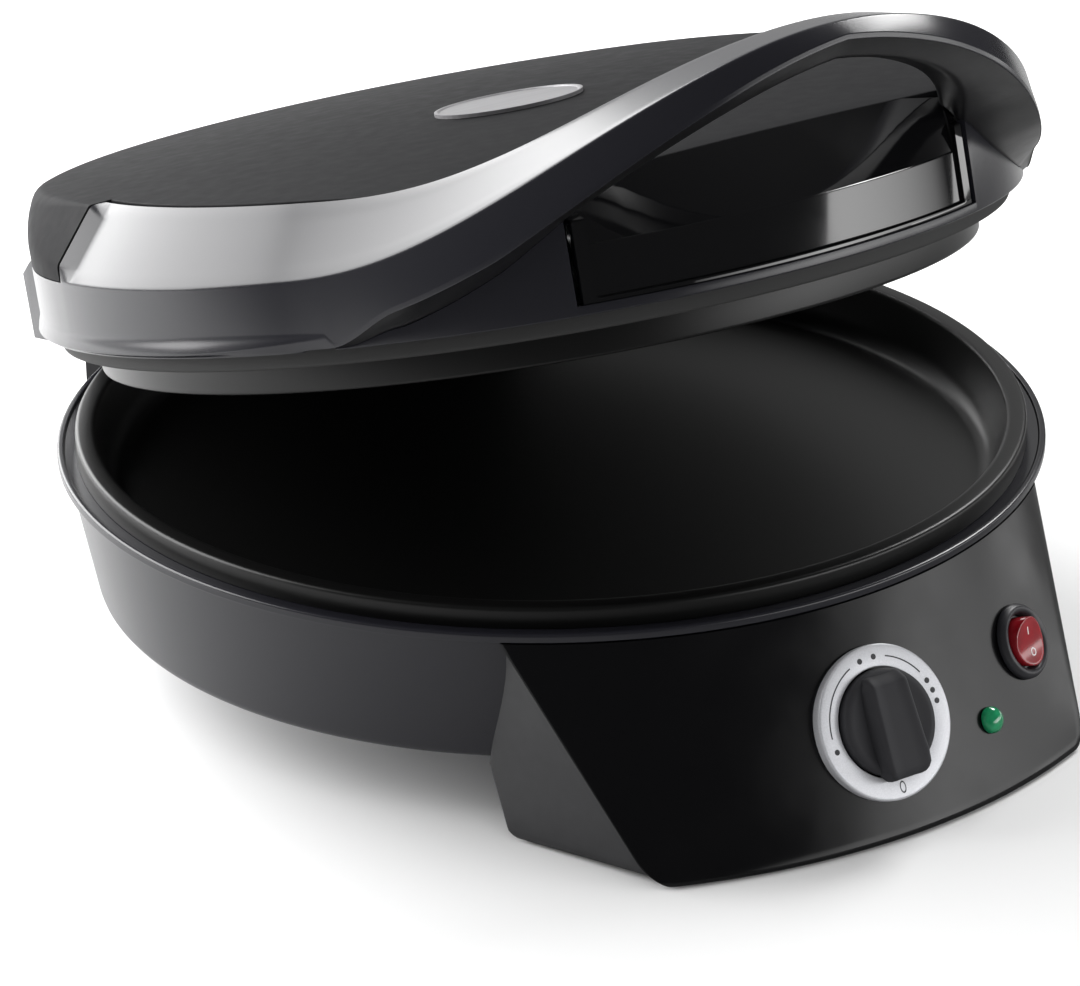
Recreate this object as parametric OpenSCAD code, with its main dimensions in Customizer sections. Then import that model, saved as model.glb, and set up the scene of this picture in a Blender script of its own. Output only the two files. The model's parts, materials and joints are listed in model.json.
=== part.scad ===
// Round countertop oven for pizza: a heated pan in a bowl-shaped base, and a hinged heated lid
// whose side band peels away at the front and arches over to make the handle.
// Millimetres. The pan's axis is the Z axis, the table is z = 0, the front faces -Y.

/* [Base] */
// Radius of the base's top flange
flange_r = 170; // [168:0.5:172]
// Height of the flange's lower edge above the table
flange_z = 71; // [68:1:76]
// Height of the bowl's underside above the table
bowl_z = 24; // [20:1:30]
// Wall thickness of the moulded housings
wall = 2.6; // [2:0.2:3.2]

/* [Pan] */
// Outer radius of the pan's rim
pan_r = 163.5; // [162:0.5:164]
// Inner radius of the pan's rim
pan_in_r = 156.5; // [154:0.5:158]
// Depth of the pan below its rim
pan_depth = 20; // [15:1:24]

/* [Control panel] */
// Half the width of the panel where it meets the table
panel_foot_w = 87; // [80:1:92]
// How far the panel's foot stands forward of the pan's axis
panel_foot_y = 205; // [200:1:210]
// Diameter of the silver dial ring
dial_d = 50.5; // [46:0.5:54]
// Diameter of the knob's skirt
knob_d = 34.6; // [30:0.2:35]
// Radius of the panel's lower corners
panel_corner_r = 9; // [4:0.5:12]

/* [Lid] */
// Angle that the lid stands open, in degrees
lid_open = 15.2; // [0:0.1:40]
// Radius of the lid's lower rim
lid_r = 168.7; // [167:0.1:170]
// Height of the crease round the lid's side, above its rim
crease_w = 22.9; // [18:0.1:26]
// Height of the lid's crown above its rim
crown_w = 49.8; // [45:0.1:55]

/* [Handle] */
// How far the handle stands forward of the lid's rim
handle_reach = 34.3; // [25:0.1:36]
// Height of the handle's crease above the lid's rim
handle_w = 77.4; // [70:0.1:85]
// Angle from the front at which the handle starts to rise from the lid, in degrees
handle_angle = 60; // [55:1:65]

/* [Hinge] */
// Distance of the hinge behind the pan's axis
hinge_y = 190; // [188:0.5:192]
// Height of the hinge above the table
hinge_z = 75.4; // [74:0.1:77]
// Radius of the hinge pins
pin_r = 4; // [3:0.5:5]
// Half the width of the base's hinge barrel
barrel_w = 70; // [60:1:75]

/* [Hidden] */
$fn = 96;
gap = 0.3;
touch = 0.02;

black = [0.06, 0.06, 0.07];
gloss = [0.03, 0.03, 0.035];
matte = [0.2, 0.2, 0.21];
coated = [0.16, 0.16, 0.17];
steel = [0.72, 0.72, 0.74];

// ---------- shared shapes ----------

function clamp01(t) = max(0, min(1, t));
function ease(t) = let (c = clamp01(t)) c * c * (3 - 2 * c);
function mix(a, b, t) = a + (b - a) * t;
// A point at radius r and height z, at an angle a from the front, positive towards +X
function polar(r, a, z) = [r * sin(a), -r * cos(a), z];

// Closed solid through a list of sections with the same count of points, listed clockwise when
// looking back from the next section. loop = true joins the last to the first instead of capping.
// flip = true splits the side faces along their other diagonal, so that two neighbours can match.
// curved = true caps it with strips, for sections that are a thin curved wall, listed out and back.
module skin(sections, loop = false, flip = false, curved = false) {
    n = len(sections);
    m = len(sections[0]);
    last = loop ? n : n - 1;
    sides = [for (i = [0 : last - 1], j = [0 : m - 1], k = [0, 1])
        let (a = i * m + j, b = i * m + (j + 1) % m)
        let (c = ((i + 1) % n) * m + (j + 1) % m, d = ((i + 1) % n) * m + j)
        k == 0 ? [a, b, flip ? d : c] : [flip ? b : a, c, d]];
    strips = [for (j = [0 : m / 2 - 2]) [j, j + 1, m - 2 - j, m - 1 - j]];
    cap = curved ? strips : [[for (j = [0 : m - 1]) j]];
    caps = loop ? [] : concat([for (f = cap) reverse(f)], [for (f = cap) [for (j = f) (n - 1) * m + j]]);
    polyhedron(points = [for (s = sections, p = s) p], faces = concat(sides, caps), convexity = 8);
}

// ---------- base ----------

lip_h = 3;
rim_z = flange_z + 9.3;
seat_z = flange_z + 2;
bowl_top_r = flange_r - 3;
bowl_low_r = 158.2;
pan_floor_z = rim_z - pan_depth;

module bowl_outside(grow) {
    translate([0, 0, bowl_z - 1])
        cylinder(r1 = bowl_low_r - 0.2 + grow, r2 = bowl_top_r + grow, h = flange_z - bowl_z + 1);
    translate([0, 0, flange_z - touch]) cylinder(r = flange_r + grow, h = lip_h + 1);
}

module base_housing() {
    in_top = bowl_top_r - wall;
    in_low = bowl_low_r - wall;
    color(gloss)
        difference() {
            rotate_extrude($fn = 180)
                polygon([[bowl_top_r, flange_z], [flange_r, flange_z], [flange_r, flange_z + lip_h - 0.6],
                    [flange_r - 0.6, flange_z + lip_h], [flange_r - 2.1, flange_z + lip_h],
                    [flange_r - 2.5, seat_z], [pan_in_r + 2.2, seat_z], [pan_in_r + 2.2, seat_z - wall],
                    [in_top, seat_z - wall], [in_low, bowl_z + wall], [146, bowl_z + wall],
                    [146, bowl_z], [bowl_low_r - 3.4, bowl_z], [bowl_low_r - 1.2, bowl_z + 0.8],
                    [bowl_low_r, bowl_z + 3]]);
            // openings behind the control panel for the dial, the switch and the lamp
            for (s = [dial, rocker, lamp]) panel_place(s) translate([0, 0, -60]) cylinder(r = s[4], h = 120);
            // way for the mains lead from the rear housing
            translate([0, 140, lead_z]) rotate([-90, 0, 0]) cylinder(r = 9, h = 40);
        }
}

// The panel is a ruled surface from the flange's circle down to a wider arc at the table.
foot_sag = 18;
foot_r = (panel_foot_w * panel_foot_w + foot_sag * foot_sag) / (2 * foot_sag);
foot_cy = foot_r - panel_foot_y;
top_half = 39.4;
foot_half = asin(panel_foot_w / foot_r);
function panel_point(t, s, in) =
    let (top = polar(flange_r - in, top_half * t, flange_z))
    let (low = polar(foot_r - in, foot_half * t, 0) + [0, foot_cy, 0])
    mix(low, top, s);

panel_t = 2.2;
side_y0 = -130;
side_y1 = -116;
side_x0 = 108;
side_x1 = 107;
arc_steps = 14;
// share of the panel's width that its inner face takes
panel_in_share = 0.985;
panel_rows = [3.6, 6, 9, 18, 28, 38, 48, 60, flange_z - touch];

// Share of the panel's width that is left at height share s, where its lower corners are rounded
function edge_share(s) = let (d = min(panel_corner_r, max(0, panel_corner_r - s * flange_z)))
    1 - (panel_corner_r - sqrt(panel_corner_r * panel_corner_r - d * d)) / panel_foot_w;
function panel_arc(s, in, share) =
    [for (i = [-arc_steps : arc_steps]) panel_point(i / arc_steps * share * edge_share(s), s, in)];
function reverse(list) = [for (i = [len(list) - 1 : -1 : 0]) list[i]];

// Outline of the pedestal at height z, drawn in by "in"; the back corners follow the legs
function pedestal_ring(z, in) =
    let (s = z / flange_z, front = panel_arc(s, in, panel_in_share))
    let (bx = mix(side_x0, side_x1, clamp01(s * 3)) - in)
    let (by = mix(side_y0, side_y1, clamp01(s * 3)) - in * 0.7)
    reverse(concat(front, [[bx, by, z], [-bx, by, z]]));

pedestal_top = flange_z - touch;

module pedestal_solid(in, z_low) {
    skin([for (k = concat([[z_low, 3.4], [z_low + 1, 1.2]], [for (z = panel_rows) [z, 0]]))
        pedestal_ring(k[0], in + k[1])], flip = true);
}

module pedestal_inside(z_low) {
    skin([for (z = [z_low, 0.8, 2, 3.6, 6, 9, 26, 48, pedestal_top - 2.2]) pedestal_ring(z, panel_t + wall)]);
}

// Features on the panel: [share of its half width, share of its height, turn about Z, bore in the
// panel, wider bore behind it]
lean = 26.2;
dial = [0.005, 0.49, 0.2, 5.2, 15];
rocker = [0.681, 0.537, 22.4, 10.6, 12];
lamp = [0.456, 0.325, 13.4, 4.1, 6];

// Puts children on the panel with their Z axis along its outward normal
module panel_place(spot) {
    translate(panel_point(spot[0], spot[1], 0)) rotate([90 - lean, 0, 0] + [0, 0, spot[2]]) children();
}

module front_pedestal() {
    color(black)
        difference() {
            pedestal_solid(panel_t + 0.08, 1);
            pedestal_inside(-1);
            bowl_outside(touch);
            for (s = [dial, rocker, lamp]) panel_place(s) translate([0, 0, -30]) cylinder(r = s[4], h = 60);
        }
}

// Gloss face of the pedestal, with a rolled lower edge: rows of [height, how far it is drawn in]
panel_roll = [[0.6, 1.7], [1.2, 0.8], [2.2, 0.2]];

module control_panel() {
    rows = concat(panel_roll, [for (z = panel_rows) [z, 0]]);
    color(gloss)
        difference() {
            skin([for (k = rows) let (s = k[0] / flange_z)
                concat(reverse(panel_arc(s, k[1], 1)), panel_arc(s, panel_t, panel_in_share))],
                curved = true);
            for (s = [dial, rocker, lamp]) panel_place(s) translate([0, 0, -20]) cylinder(r = s[3], h = 40);
        }
}

module pedestal_cover() {
    color(black)
        difference() {
            skin([for (z = [1.2, 3]) pedestal_ring(z, panel_t + wall + 1.2)]);
            for (x = [-66, 66]) translate([x, -150, -1]) cylinder(r = 1.8, h = 6);
        }
}

foot_spots = [[-72, -165], [72, -165], [-58, 176], [58, 176]];
cover_screw_r = 149.2;

module bottom_cover() {
    color(steel)
        difference() {
            translate([0, 0, bowl_z - 1.6]) cylinder(r = 152.5, h = 1.58);
            translate([0, 0, bowl_z - 3]) for (a = [45 : 90 : 315]) rotate(a) {
                translate([cover_screw_r, 0, 0]) cylinder(r = 1.8, h = 5);
                translate([cover_screw_r, 0, 0]) cylinder(r = 3.2, h = 2.4);
                for (k = [-3 : 3]) translate([70, k * 12, 0]) vent_slot();
            }
            // the pedestal and the rear housing stand in these cut-outs
            translate([-125, -160, bowl_z - 3]) cube([250, 47, 5]);
            translate([-76, 138, bowl_z - 3]) cube([152, 30, 5]);
        }
}

module vent_slot() {
    translate([0, -1.8, 0]) cube([34, 3.6, 5]);
    for (x = [0, 34]) translate([x, 0, 0]) cylinder(r = 1.8, h = 5, $fn = 24);
}

inlet_z = 32;
lead_z = 44;
rear_y = 208;
barrel_r = 9;

module rear_housing() {
    color(black)
        difference() {
            rotate([90, 0, 90]) translate([0, 0, -barrel_w])
                linear_extrude(2 * barrel_w) {
                    difference() {
                        union() {
                            polygon([[140, 1.2], [190, 1.2], [196, 6], [rear_y - 3, 12], [rear_y, 16],
                                [rear_y, 46], [rear_y - 4, 52], [189, 57.5], [183.4, 62.5], [183.6, 70],
                                [184, 75], [176, flange_z + 1.9], [140, flange_z + 1.9]]);
                            translate([hinge_y, hinge_z]) circle(r = barrel_r);
                        }
                        polygon([[130, 4], [180, 4], [180, 14], [rear_y - 3, 19], [rear_y - 3, 44],
                            [180, 56], [180, 60], [130, 60]]);
                    }
                }
            bowl_outside(touch);
            translate([0, 0, bowl_z - 2]) cylinder(r = bowl_low_r + 0.2, h = 3);
            // pin sockets in both ends of the barrel
            for (s = [-1, 1]) translate([s * barrel_w, hinge_y, hinge_z]) rotate([0, -s * 90, 0])
                translate([0, 0, -1]) cylinder(r = pin_r + touch, h = 26);
            // recess and hole for the cord bush
            translate([0, rear_y - 20, inlet_z]) rotate([-90, 0, 0]) cylinder(r = bush_r, h = 30);
            // finger-wide cuts that lighten the barrel's top between its ends
            for (x = [-34, 0, 34]) translate([x - 12, hinge_y - 14, hinge_z + 5]) cube([24, 28, 10]);
        }
    // end walls that close the hollow
    color(black)
        difference() {
            for (s = [-1, 1]) translate([s < 0 ? -barrel_w : barrel_w - wall, 0, 0]) rotate([90, 0, 90])
                linear_extrude(wall)
                    polygon([[150, 3.9], [180.1, 3.9], [180.1, 13.9], [rear_y - 2.9, 18.9],
                        [rear_y - 2.9, 44.1], [180.1, 56.1], [180.1, 60.1], [150, 60.1]]);
            bowl_outside(touch);
            translate([0, 0, bowl_z - 2]) cylinder(r = bowl_low_r + 0.2, h = 3);
        }
}

module hinge_pins() {
    color(steel)
        for (s = [-1, 1]) translate([s * (barrel_w - 24), hinge_y, hinge_z]) rotate([0, s * 90, 0])
            cylinder(r = pin_r, h = 47);
}

module rubber_feet() {
    color([0.1, 0.1, 0.1])
        for (p = foot_spots) translate([p[0], p[1], 0])
            rotate_extrude($fn = 48) polygon([[0, 0], [7, 0], [8, 0.6], [8, 1.18], [0, 1.18]]);
}

module lower_plate() {
    color(coated)
        rotate_extrude($fn = 180)
            polygon([[0, pan_floor_z], [pan_in_r - 9, pan_floor_z], [pan_in_r - 5.4, pan_floor_z + 1.4],
                [pan_in_r - 3.4, pan_floor_z + 4.6], [pan_in_r - 0.6, rim_z - 2], [pan_in_r + 0.4, rim_z - 0.4],
                [pan_in_r + 1.6, rim_z], [pan_r - 1.4, rim_z], [pan_r - 0.3, rim_z - 0.6], [pan_r, rim_z - 2],
                [pan_r, seat_z + touch], [pan_in_r + 1.6, seat_z + touch], [pan_in_r - 1.6, pan_floor_z + 2],
                [pan_in_r - 6.4, pan_floor_z - 3.5], [126, pan_floor_z - 3.5], [126, pan_floor_z - 4.5],
                [104, pan_floor_z - 4.5], [104, pan_floor_z - 3.5], [0, pan_floor_z - 3.5]]);
}

heater_r = 115;
heater_tube_r = 3.6;

// Ring-shaped tubular heater with its two cold ends turned away from the plate, towards "dir"
module heater(z, dir) {
    translate([0, 0, z]) rotate(-78)
        rotate_extrude(angle = 336, $fn = 120) translate([heater_r, 0]) circle(r = heater_tube_r, $fn = 24);
    // insulated sleeves on the cold ends, with their wires
    for (a = [-78, 258]) rotate(a) translate([heater_r, 0, z]) rotate([dir < 0 ? 180 : 0, 0, 0]) {
        translate([0, 0, 1 - heater_tube_r]) cylinder(r = heater_tube_r + 1, h = 16, $fn = 32);
        translate([0, 0, 12]) cylinder(r = 1.2, h = 8, $fn = 24);
    }
}

module lower_heater() {
    color([0.45, 0.44, 0.42]) heater(pan_floor_z - 4.5 - heater_tube_r - touch, -1);
}

module lower_reflector() {
    z = bowl_z + 10;
    color(steel)
        difference() {
            rotate_extrude($fn = 120)
                polygon([[0, z], [122, z], [136, z + 14], [140, z + 14], [140, z + 14.6], [135.8, z + 14.6],
                    [121.8, z + 0.6], [0, z + 0.6]]);
            for (a = [-78, 258]) rotate(a) translate([heater_r, 0, z - 2]) cylinder(r = 6, h = 6, $fn = 32);
            translate([0, 0, z - 2]) cylinder(r = 9, h = 6);
        }
}

module terminal_block() {
    color([0.85, 0.82, 0.75])
        translate([-18, 108, bowl_z + wall - 2.5]) difference() {
            cube([36, 16, 9]);
            for (x = [6, 18, 30]) translate([x, 8, 4]) cylinder(r = 2.2, h = 6);
        }
}

module thermal_fuse() {
    color(steel)
        translate([40, 60, pan_floor_z - 3.5 - 4 - touch]) rotate([0, 90, 30]) {
            cylinder(r = 4, h = 22, $fn = 32);
            translate([0, 0, -8]) cylinder(r = 0.7, h = 38, $fn = 16);
        }
}

// ---------- controls ----------

module thermostat() {
    color(steel)
        panel_place(dial) translate([0, 0, -panel_t - wall - 0.4]) difference() {
            union() {
                translate([-16, -13, -19]) cube([32, 26, 16]);
                translate([0, 0, -3.2]) cylinder(r = 9, h = 3);
                cylinder(r = 5, h = panel_t + wall - 0.2);
            }
            translate([0, 0, -15]) cylinder(r = 3.05, h = 40);
        }
}

module dial_ring() {
    color([0.8, 0.8, 0.82])
        panel_place(dial) difference() {
            rotate_extrude($fn = 120)
                polygon([[knob_d / 2 + 0.5, -1.6], [dial_d / 2 - 0.2, -1.6],
                    [dial_d / 2, -1.2], [dial_d / 2, 1.4],
                    [dial_d / 2 - 1, 2.3], [knob_d / 2 + 1.3, 2.3], [knob_d / 2 + 0.5, 1.5]]);
            // the ring's back follows the panel
            panel_back();
        }
}

// The panel's own body in the dial's frame, taken out of trim that is seated in the panel
module panel_back() {
    inverse_place(dial) skin([for (z = [2, 14, 26, 37, 48, 60, 68])
        concat([for (i = [arc_steps : -1 : -arc_steps]) panel_point(i / arc_steps, z / flange_z, -touch)],
            [for (i = [-arc_steps : arc_steps]) panel_point(i / arc_steps, z / flange_z, 12)])]);
}

module inverse_place(spot) {
    rotate([lean - 90, 0, 0]) rotate([0, 0, -spot[2]]) translate(-panel_point(spot[0], spot[1], 0)) children();
}

module knob() {
    color(black)
        panel_place(dial) {
            difference() {
                union() {
                    rotate_extrude($fn = 96)
                        polygon([[0, 1.2], [knob_d / 2 - 0.6, 1.2], [knob_d / 2, 1.8], [knob_d / 2, 4.8],
                            [knob_d / 2 - 1.4, 6], [knob_d / 2 - 6, 5.4], [0, 5.4]]);
                    knob_grip();
                }
                translate([0, 0, 0.5]) cylinder(r = 3.02, h = 8);
            }
        }
}

// Bar across the knob that the fingers turn, from its plain end to its pointer over the off mark:
// [place, height, half width at the foot, half width at the top]
grip_rows = [[15.4, 6.6, 6.4, 5.4], [12.6, 10.3, 9.2, 6.2], [0, 10.9, 10.2, 6.6], [-11.5, 11.2, 9.8, 7.3],
    [-16.6, 10.4, 7.2, 6.6], [-18.4, 8.2, 5.6, 5.2]];
grip_hollow = 0.7;

module knob_grip() {
    skin([for (k = grip_rows) let (y = k[0], top = k[1], foot = k[2], edge = k[3])
        [[-foot, y, 3], [-edge - 0.9, y, top - 0.8], [-edge, y, top], [-edge * 0.5, y, top - grip_hollow],
            [edge * 0.5, y, top - grip_hollow], [edge, y, top], [edge + 0.9, y, top - 0.8], [foot, y, 3]]]);
}

module knob_shaft() {
    color(steel)
        panel_place(dial) translate([0, 0, -panel_t - wall - 12]) cylinder(r = 3, h = panel_t + wall + 20);
}

rocker_r = 8.6;
// how far the rocker leans with its lower half pressed in
rocker_rest = 8;
axle_r = 1.5;

module switch_housing() {
    color(black)
        panel_place(rocker) difference() {
            union() {
                rotate_extrude($fn = 96)
                    polygon([[0, 0.15], [12.5, 0.15], [12.6, 1.2], [12.1, 2.4],
                        [11, 3], [10, 2.8], [9, 1.4], [0, 1.4]]);
                translate([0, 0, -17]) cylinder(r = 10.4, h = 17.5);
            }
            translate([0, 0, -8]) cylinder(r = rocker_r + 0.35, h = 14);
            translate([-9.9, 0, 0]) rotate([0, 90, 0]) cylinder(r = axle_r + 0.05, h = 19.8, $fn = 48);
        }
}

// Round rocker with a hollow face, on an axle that runs in the housing
module switch_rocker() {
    half = rocker_r - 0.45;
    color([0.75, 0.05, 0.06])
        panel_place(rocker) rotate([rocker_rest, 0, 0]) {
            intersection() {
                rotate([90, 0, 90]) translate([0, 0, -rocker_r]) linear_extrude(2 * rocker_r)
                    polygon([[-half, -4], [half, -4], [half, 5.2], [4, 4.3], [0, 4], [-4, 4.3], [-half, 5.2]]);
                translate([0, 0, -8]) cylinder(r = half, h = 20);
            }
            translate([-9.6, 0, 0]) rotate([0, 90, 0]) cylinder(r = axle_r, h = 19.2, $fn = 48);
        }
}

module pilot_lens() {
    color([0.05, 0.6, 0.25])
        panel_place(lamp) {
            rotate_extrude($fn = 64)
                polygon(concat([[0, -6], [3.4, -6], [3.4, 0.4], [4.4, 0.4]],
                    [for (a = [0 : 15 : 90]) [4.4 * cos(a), 0.8 + 3 * sin(a)]]));
        }
}

module pilot_holder() {
    color([0.8, 0.8, 0.78])
        panel_place(lamp) translate([0, 0, -17]) difference() {
            cylinder(r = 5, h = 13);
            translate([0, 0, 2]) cylinder(r = 3.45, h = 12);
        }
}

bush_r = 7;
bush_bore_r = 3.8;

module cord_bush() {
    color([0.12, 0.12, 0.12])
        translate([0, rear_y, inlet_z]) rotate([-90, 0, 0]) difference() {
            union() {
                translate([0, 0, -9.5]) cylinder(r = 9.2, h = 1.8);
                translate([0, 0, -9]) cylinder(r = bush_r - touch, h = 7);
                translate([0, 0, -3.2]) cylinder(r = bush_r - touch, h = 3);
            }
            translate([0, 0, -12]) cylinder(r = bush_bore_r, h = 16);
        }
}

// Pan-head screw pointing up: its head's thickness and the length of its shank
module screw(head, shank) {
    cylinder(r = 3, h = head, $fn = 32);
    translate([0, 0, head - 0.1]) cylinder(r = 1.5, h = shank, $fn = 32);
}

module base_screws() {
    color(steel)
        for (a = [45 : 90 : 315]) rotate(a) translate([cover_screw_r, 0, bowl_z - 1.6]) screw(0.98, 3.6);
}

// ---------- lid, drawn closed with its rim at z = 0 ----------

lid_z = 86.8;
band_in = 3;
top_r = 149;
sheet_y = 32;
sheet_ky = 0.00024;
sheet_kx = 0.00017;
sheet_t = 2.5;

// Height of the crowned top sheet above the rim
function sheet(x, y) = crown_w - sheet_ky * (y - sheet_y) * (y - sheet_y) - sheet_kx * x * x;
function sheet_at(r, a) = let (p = polar(r, a, 0)) sheet(p[0], p[1]);

// How far the handle has peeled off at an angle from the front: 1 at the middle, 0 where it starts
function peel(a) = ease((handle_angle - abs(a)) / 50);
function rise(a) = abs(a) < handle_angle ? cos(90 * a / handle_angle) : 0;

function crease_at(a) = [lid_r + (handle_reach - 5) * peel(a),
    crease_w + (handle_w - crease_w) * pow(rise(a), 2.3)];
function band_depth(a) = min(5.8 + 0.33 * abs(a), 17.2)
    + ease((abs(a) - 46) / 8) * (crease_w - 17.2);
function low_at(a) = let (c = crease_at(a)) [lid_r + handle_reach * peel(a), max(0.6, c[1] - band_depth(a))];
// Inner edge of the band's sloped top
function inner_at(a) = let (r = top_r + 33 * ease((handle_angle - abs(a)) / handle_angle))
    [r, sheet_at(top_r, a) + 36 * pow(rise(a), 3)];

wing = 27.6;
tip = 54;
rear_start = 97;
// The band's underside: an outer point below the low edge, which comes in to the lid's wall at the wings
function under_at(a) = let (l = low_at(a), k = abs(a) / 30, f = clamp01((tip - abs(a)) / 8))
    [max(lid_r - 0.3, l[0] - 7 - 22 * k * k), l[1] - 6 * f];
function heel_at(a) = let (u = under_at(a)) [max(lid_r - band_in, u[0] - 10), u[1] + 0.4];
function back_at(a) = let (e = inner_at(a), w = ease((abs(a) - 12) / 20))
    [e[0] - 1.5 - w, mix(e[1] - 5, min(e[1] - 5, sheet_at(top_r, a) - 4), w)];

// A point on the line where the band's upper and lower mouldings meet, from its low edge inwards
function parting(a, t) = mix(low_at(a), back_at(a), t);

function in_plane(a, points) = [for (p = points) polar(p[0], a, p[1])];

// Height and reach of the bead that stands out low on the band's side: 0 at the handle, 1 at the sides
function bead(a) = sqrt(ease((abs(a) - tip) / 22)) * (1 - ease((abs(a) - 124) / 6));
bead_out = 1.3;
bead_h = 5.8;
// Heights of the bead's lower edge, lip and root where it ends in a point at the handle's roots
bead_point = [4.4, 4.9, 5.4];

// Angle at which the sloped band starts to rise to the cover's shoulder
strip_start = 94.8;
// Where the cover's shoulder turns up, and how far above the crease it meets the wall below
shoulder_r = 154;
shoulder_up = 5.6;
function shoulder_at(a, t) =
    [mix(lid_r - 0.1, shoulder_r, t), mix(crease_w + shoulder_up, sheet_at(shoulder_r, a) - 0.1, t)];

// Section of the gloss band: solid along the handle, and a thin shell round the sides
function band_section(a) =
    let (c = crease_at(a), l = low_at(a), e = inner_at(a), f = back_at(a), k = ease((abs(a) - tip) / 4))
    let (b = bead(a), shell = clamp01((abs(a) - rear_start) / 0.5))
    let (strip = clamp01((abs(a) - strip_start) / (rear_start - strip_start)) * (1 - shell))
    let (e2 = mix(e, [lid_r - 1.6, crease_w + 0.3], shell))
    let (f2 = mix(f, [lid_r - band_in, crease_w - 2.6], shell))
    let (g = mix(parting(a, 0.65), [lid_r - band_in, crease_w - 3.4], k))
    let (h = mix(parting(a, 0.3), [lid_r - band_in, 0], k), i = mix(parting(a, 0.1), [lid_r - 0.5, 0], k))
    let (start = abs(a) > tip ? bead_point : [l[1], l[1] + 0.8, l[1] + 1.2])
    let (out = [l[0] + bead_out * b, mix(start[0], l[1], b)])
    let (lip = [mix(l[0] + 0.2, lid_r + bead_out, b), mix(start[1], 3.2, b)])
    let (root = [mix(l[0] + 0.1, lid_r, b), mix(start[2], bead_h, b)])
    let (d = mix(c, l, 0.08), d2 = mix(mix(c, e2, 0.05), shoulder_at(a, 0), strip))
    let (d3 = mix(mix(e2, c, 0.03), shoulder_at(a, 1), strip))
    in_plane(a, [i, out, lip, root, d, d2, d3, e2, f2, g, h]);

hood_w = 98;
hood_flare = 118;

module lid_pose() {
    translate([0, hinge_y, hinge_z]) rotate([-lid_open, 0, 0])
        translate([0, -hinge_y, lid_z - hinge_z]) children();
}

band_step = 3;

module lid_frame() {
    side = [for (a = [-93 : band_step : 93]) a];
    rear = [for (a = [-180 : 6 : -102]) a];
    angles = concat(rear, [-rear_start - 0.5, -rear_start, -strip_start], side,
        [strip_start, rear_start, rear_start + 0.5], [for (i = [len(rear) - 1 : -1 : 1]) -rear[i]]);
    color(gloss) lid_pose()
        difference() {
            skin([for (a = angles) band_section(a)], true);
            // window in the rear wall, where the hinge hood passes in
            translate([-hood_w, 60, -1]) cube([2 * hood_w, 130, 19]);
        }
}

module handle_underside() {
    color(matte) lid_pose()
        skin([for (a = [-tip : band_step : tip])
            in_plane(a, [under_at(a), for (t = [0, 0.1, 0.3, 0.65, 1]) parting(a, t), heel_at(a)])],
            flip = true);
}

// Lower wall below the handle's roots, joined by a narrow sill under the front insert
module front_skirt() {
    angles = concat([for (a = [-tip : band_step : -30]) a], [-wing, -wing + 0.1],
        [for (a = [-24 : band_step : 24]) a], [wing - 0.1, wing], [for (a = [30 : band_step : tip]) a]);
    color(gloss) lid_pose()
        skin([for (a = angles) let (h = abs(a) < wing ? sill : max(0.4, under_at(a)[1] - 0.1))
            in_plane(a, [[lid_r - band_in, 0], [lid_r - 0.3, 0], [lid_r, min(0.3, h / 2)], [lid_r - touch, h],
                [lid_r - band_in, h]])]);
}

sill = 3.2;
insert_x = 75.8;
cheek_x = 71.4;
insert_crease = 21.5;
insert_top_y = -146;

// Gloss facet under the handle: a near-vertical face with a frame, a slope up to the top sheet, and a
// cheek each side that rises behind the handle's root
module front_insert() {
    xs = concat([-insert_x, -cheek_x - 0.1, -cheek_x, -64], [for (x = [-57 : 9.5 : 57]) x],
        [64, cheek_x, cheek_x + 0.1, insert_x]);
    color(gloss) lid_pose()
        skin([for (x = xs)
            let (y0 = -sqrt(pow(lid_r - 0.6, 2) - x * x))
            let (inside = -sqrt(pow(lid_r - band_in - 0.25, 2) - x * x))
            let (cheek = abs(x) > cheek_x + 0.05, fold = clamp01((abs(x) - 57) / (insert_x - 57)))
            let (top_y = insert_top_y - mix(0.4, 0.95, fold))
            let (top = mix(sheet(x, insert_top_y), 38.6, fold) - 0.1)
            let (face = y0 + (cheek ? 0 : 1.2), ridge = cheek ? [inside, 30.8] : [face + 0.6, insert_crease])
            let (back = insert_top_y - 0.15)
            [[x, face, sill + touch], [x, face, cheek ? 29.6 : insert_crease - 0.6], [x, ridge[0], ridge[1]],
                [x, top_y, top], [x, back, top - 0.4], [x, back, top - 3],
                [x, min(face + 3.4, back - 0.1), insert_crease - 1.5],
                [x, min(face + 2.8, back - 0.3), sill + touch]]]);
}

// Edge of the top cover at an angle from the front
function cover_r(a) = let (front = -insert_top_y / cos(min(abs(a), 60)))
    min(front, back_at(min(abs(a), rear_start))[0] - 0.1);

// Cover's section along the front and sides: the sheet with its edge turned down inside the band
function sheet_rows(a) = let (r = cover_r(a), s = sheet_at(r - 6, a), rim = sheet_at(r, a))
    [[r - 4, sheet_at(r - 4, a)], [r - 1.2, rim - 0.3], [r, rim - 1.2], [r, s - 2.4], [r, s - 3.2], [r, s - 4],
        [r - sheet_t, s - 4], [r - sheet_t, s - 3.9], [r - sheet_t - 3, rim - sheet_t - 2]];

// Its section round the rear: a rounded shoulder and a wall down to the band, which starts leaning in
// beside the band's strip and comes upright behind it
function wall_rows(a) =
    let (k = ease((abs(a) - rear_start) / 34), out = lid_r - touch, low = crease_w + 0.35)
    let (r = mix(shoulder_r, 166.6, k), rim = sheet_at(r, a), high = mix(crease_w + shoulder_up, rim - 7, k))
    [[r - mix(2, 9, k), sheet_at(r - mix(2, 9, k), a)], [r - mix(0.3, 3, k), rim - mix(0.1, 1.3, k)],
        [r + 0.6 * k, rim - mix(0.5, 3.6, k)], [out, high], [out, mix(high, low, 0.6)], [out, low],
        [out - sheet_t, low], [out - sheet_t - mix(1.5, 0, k), high],
        [r - sheet_t - 3, rim - sheet_t - mix(1, 4, k)]];

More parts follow.
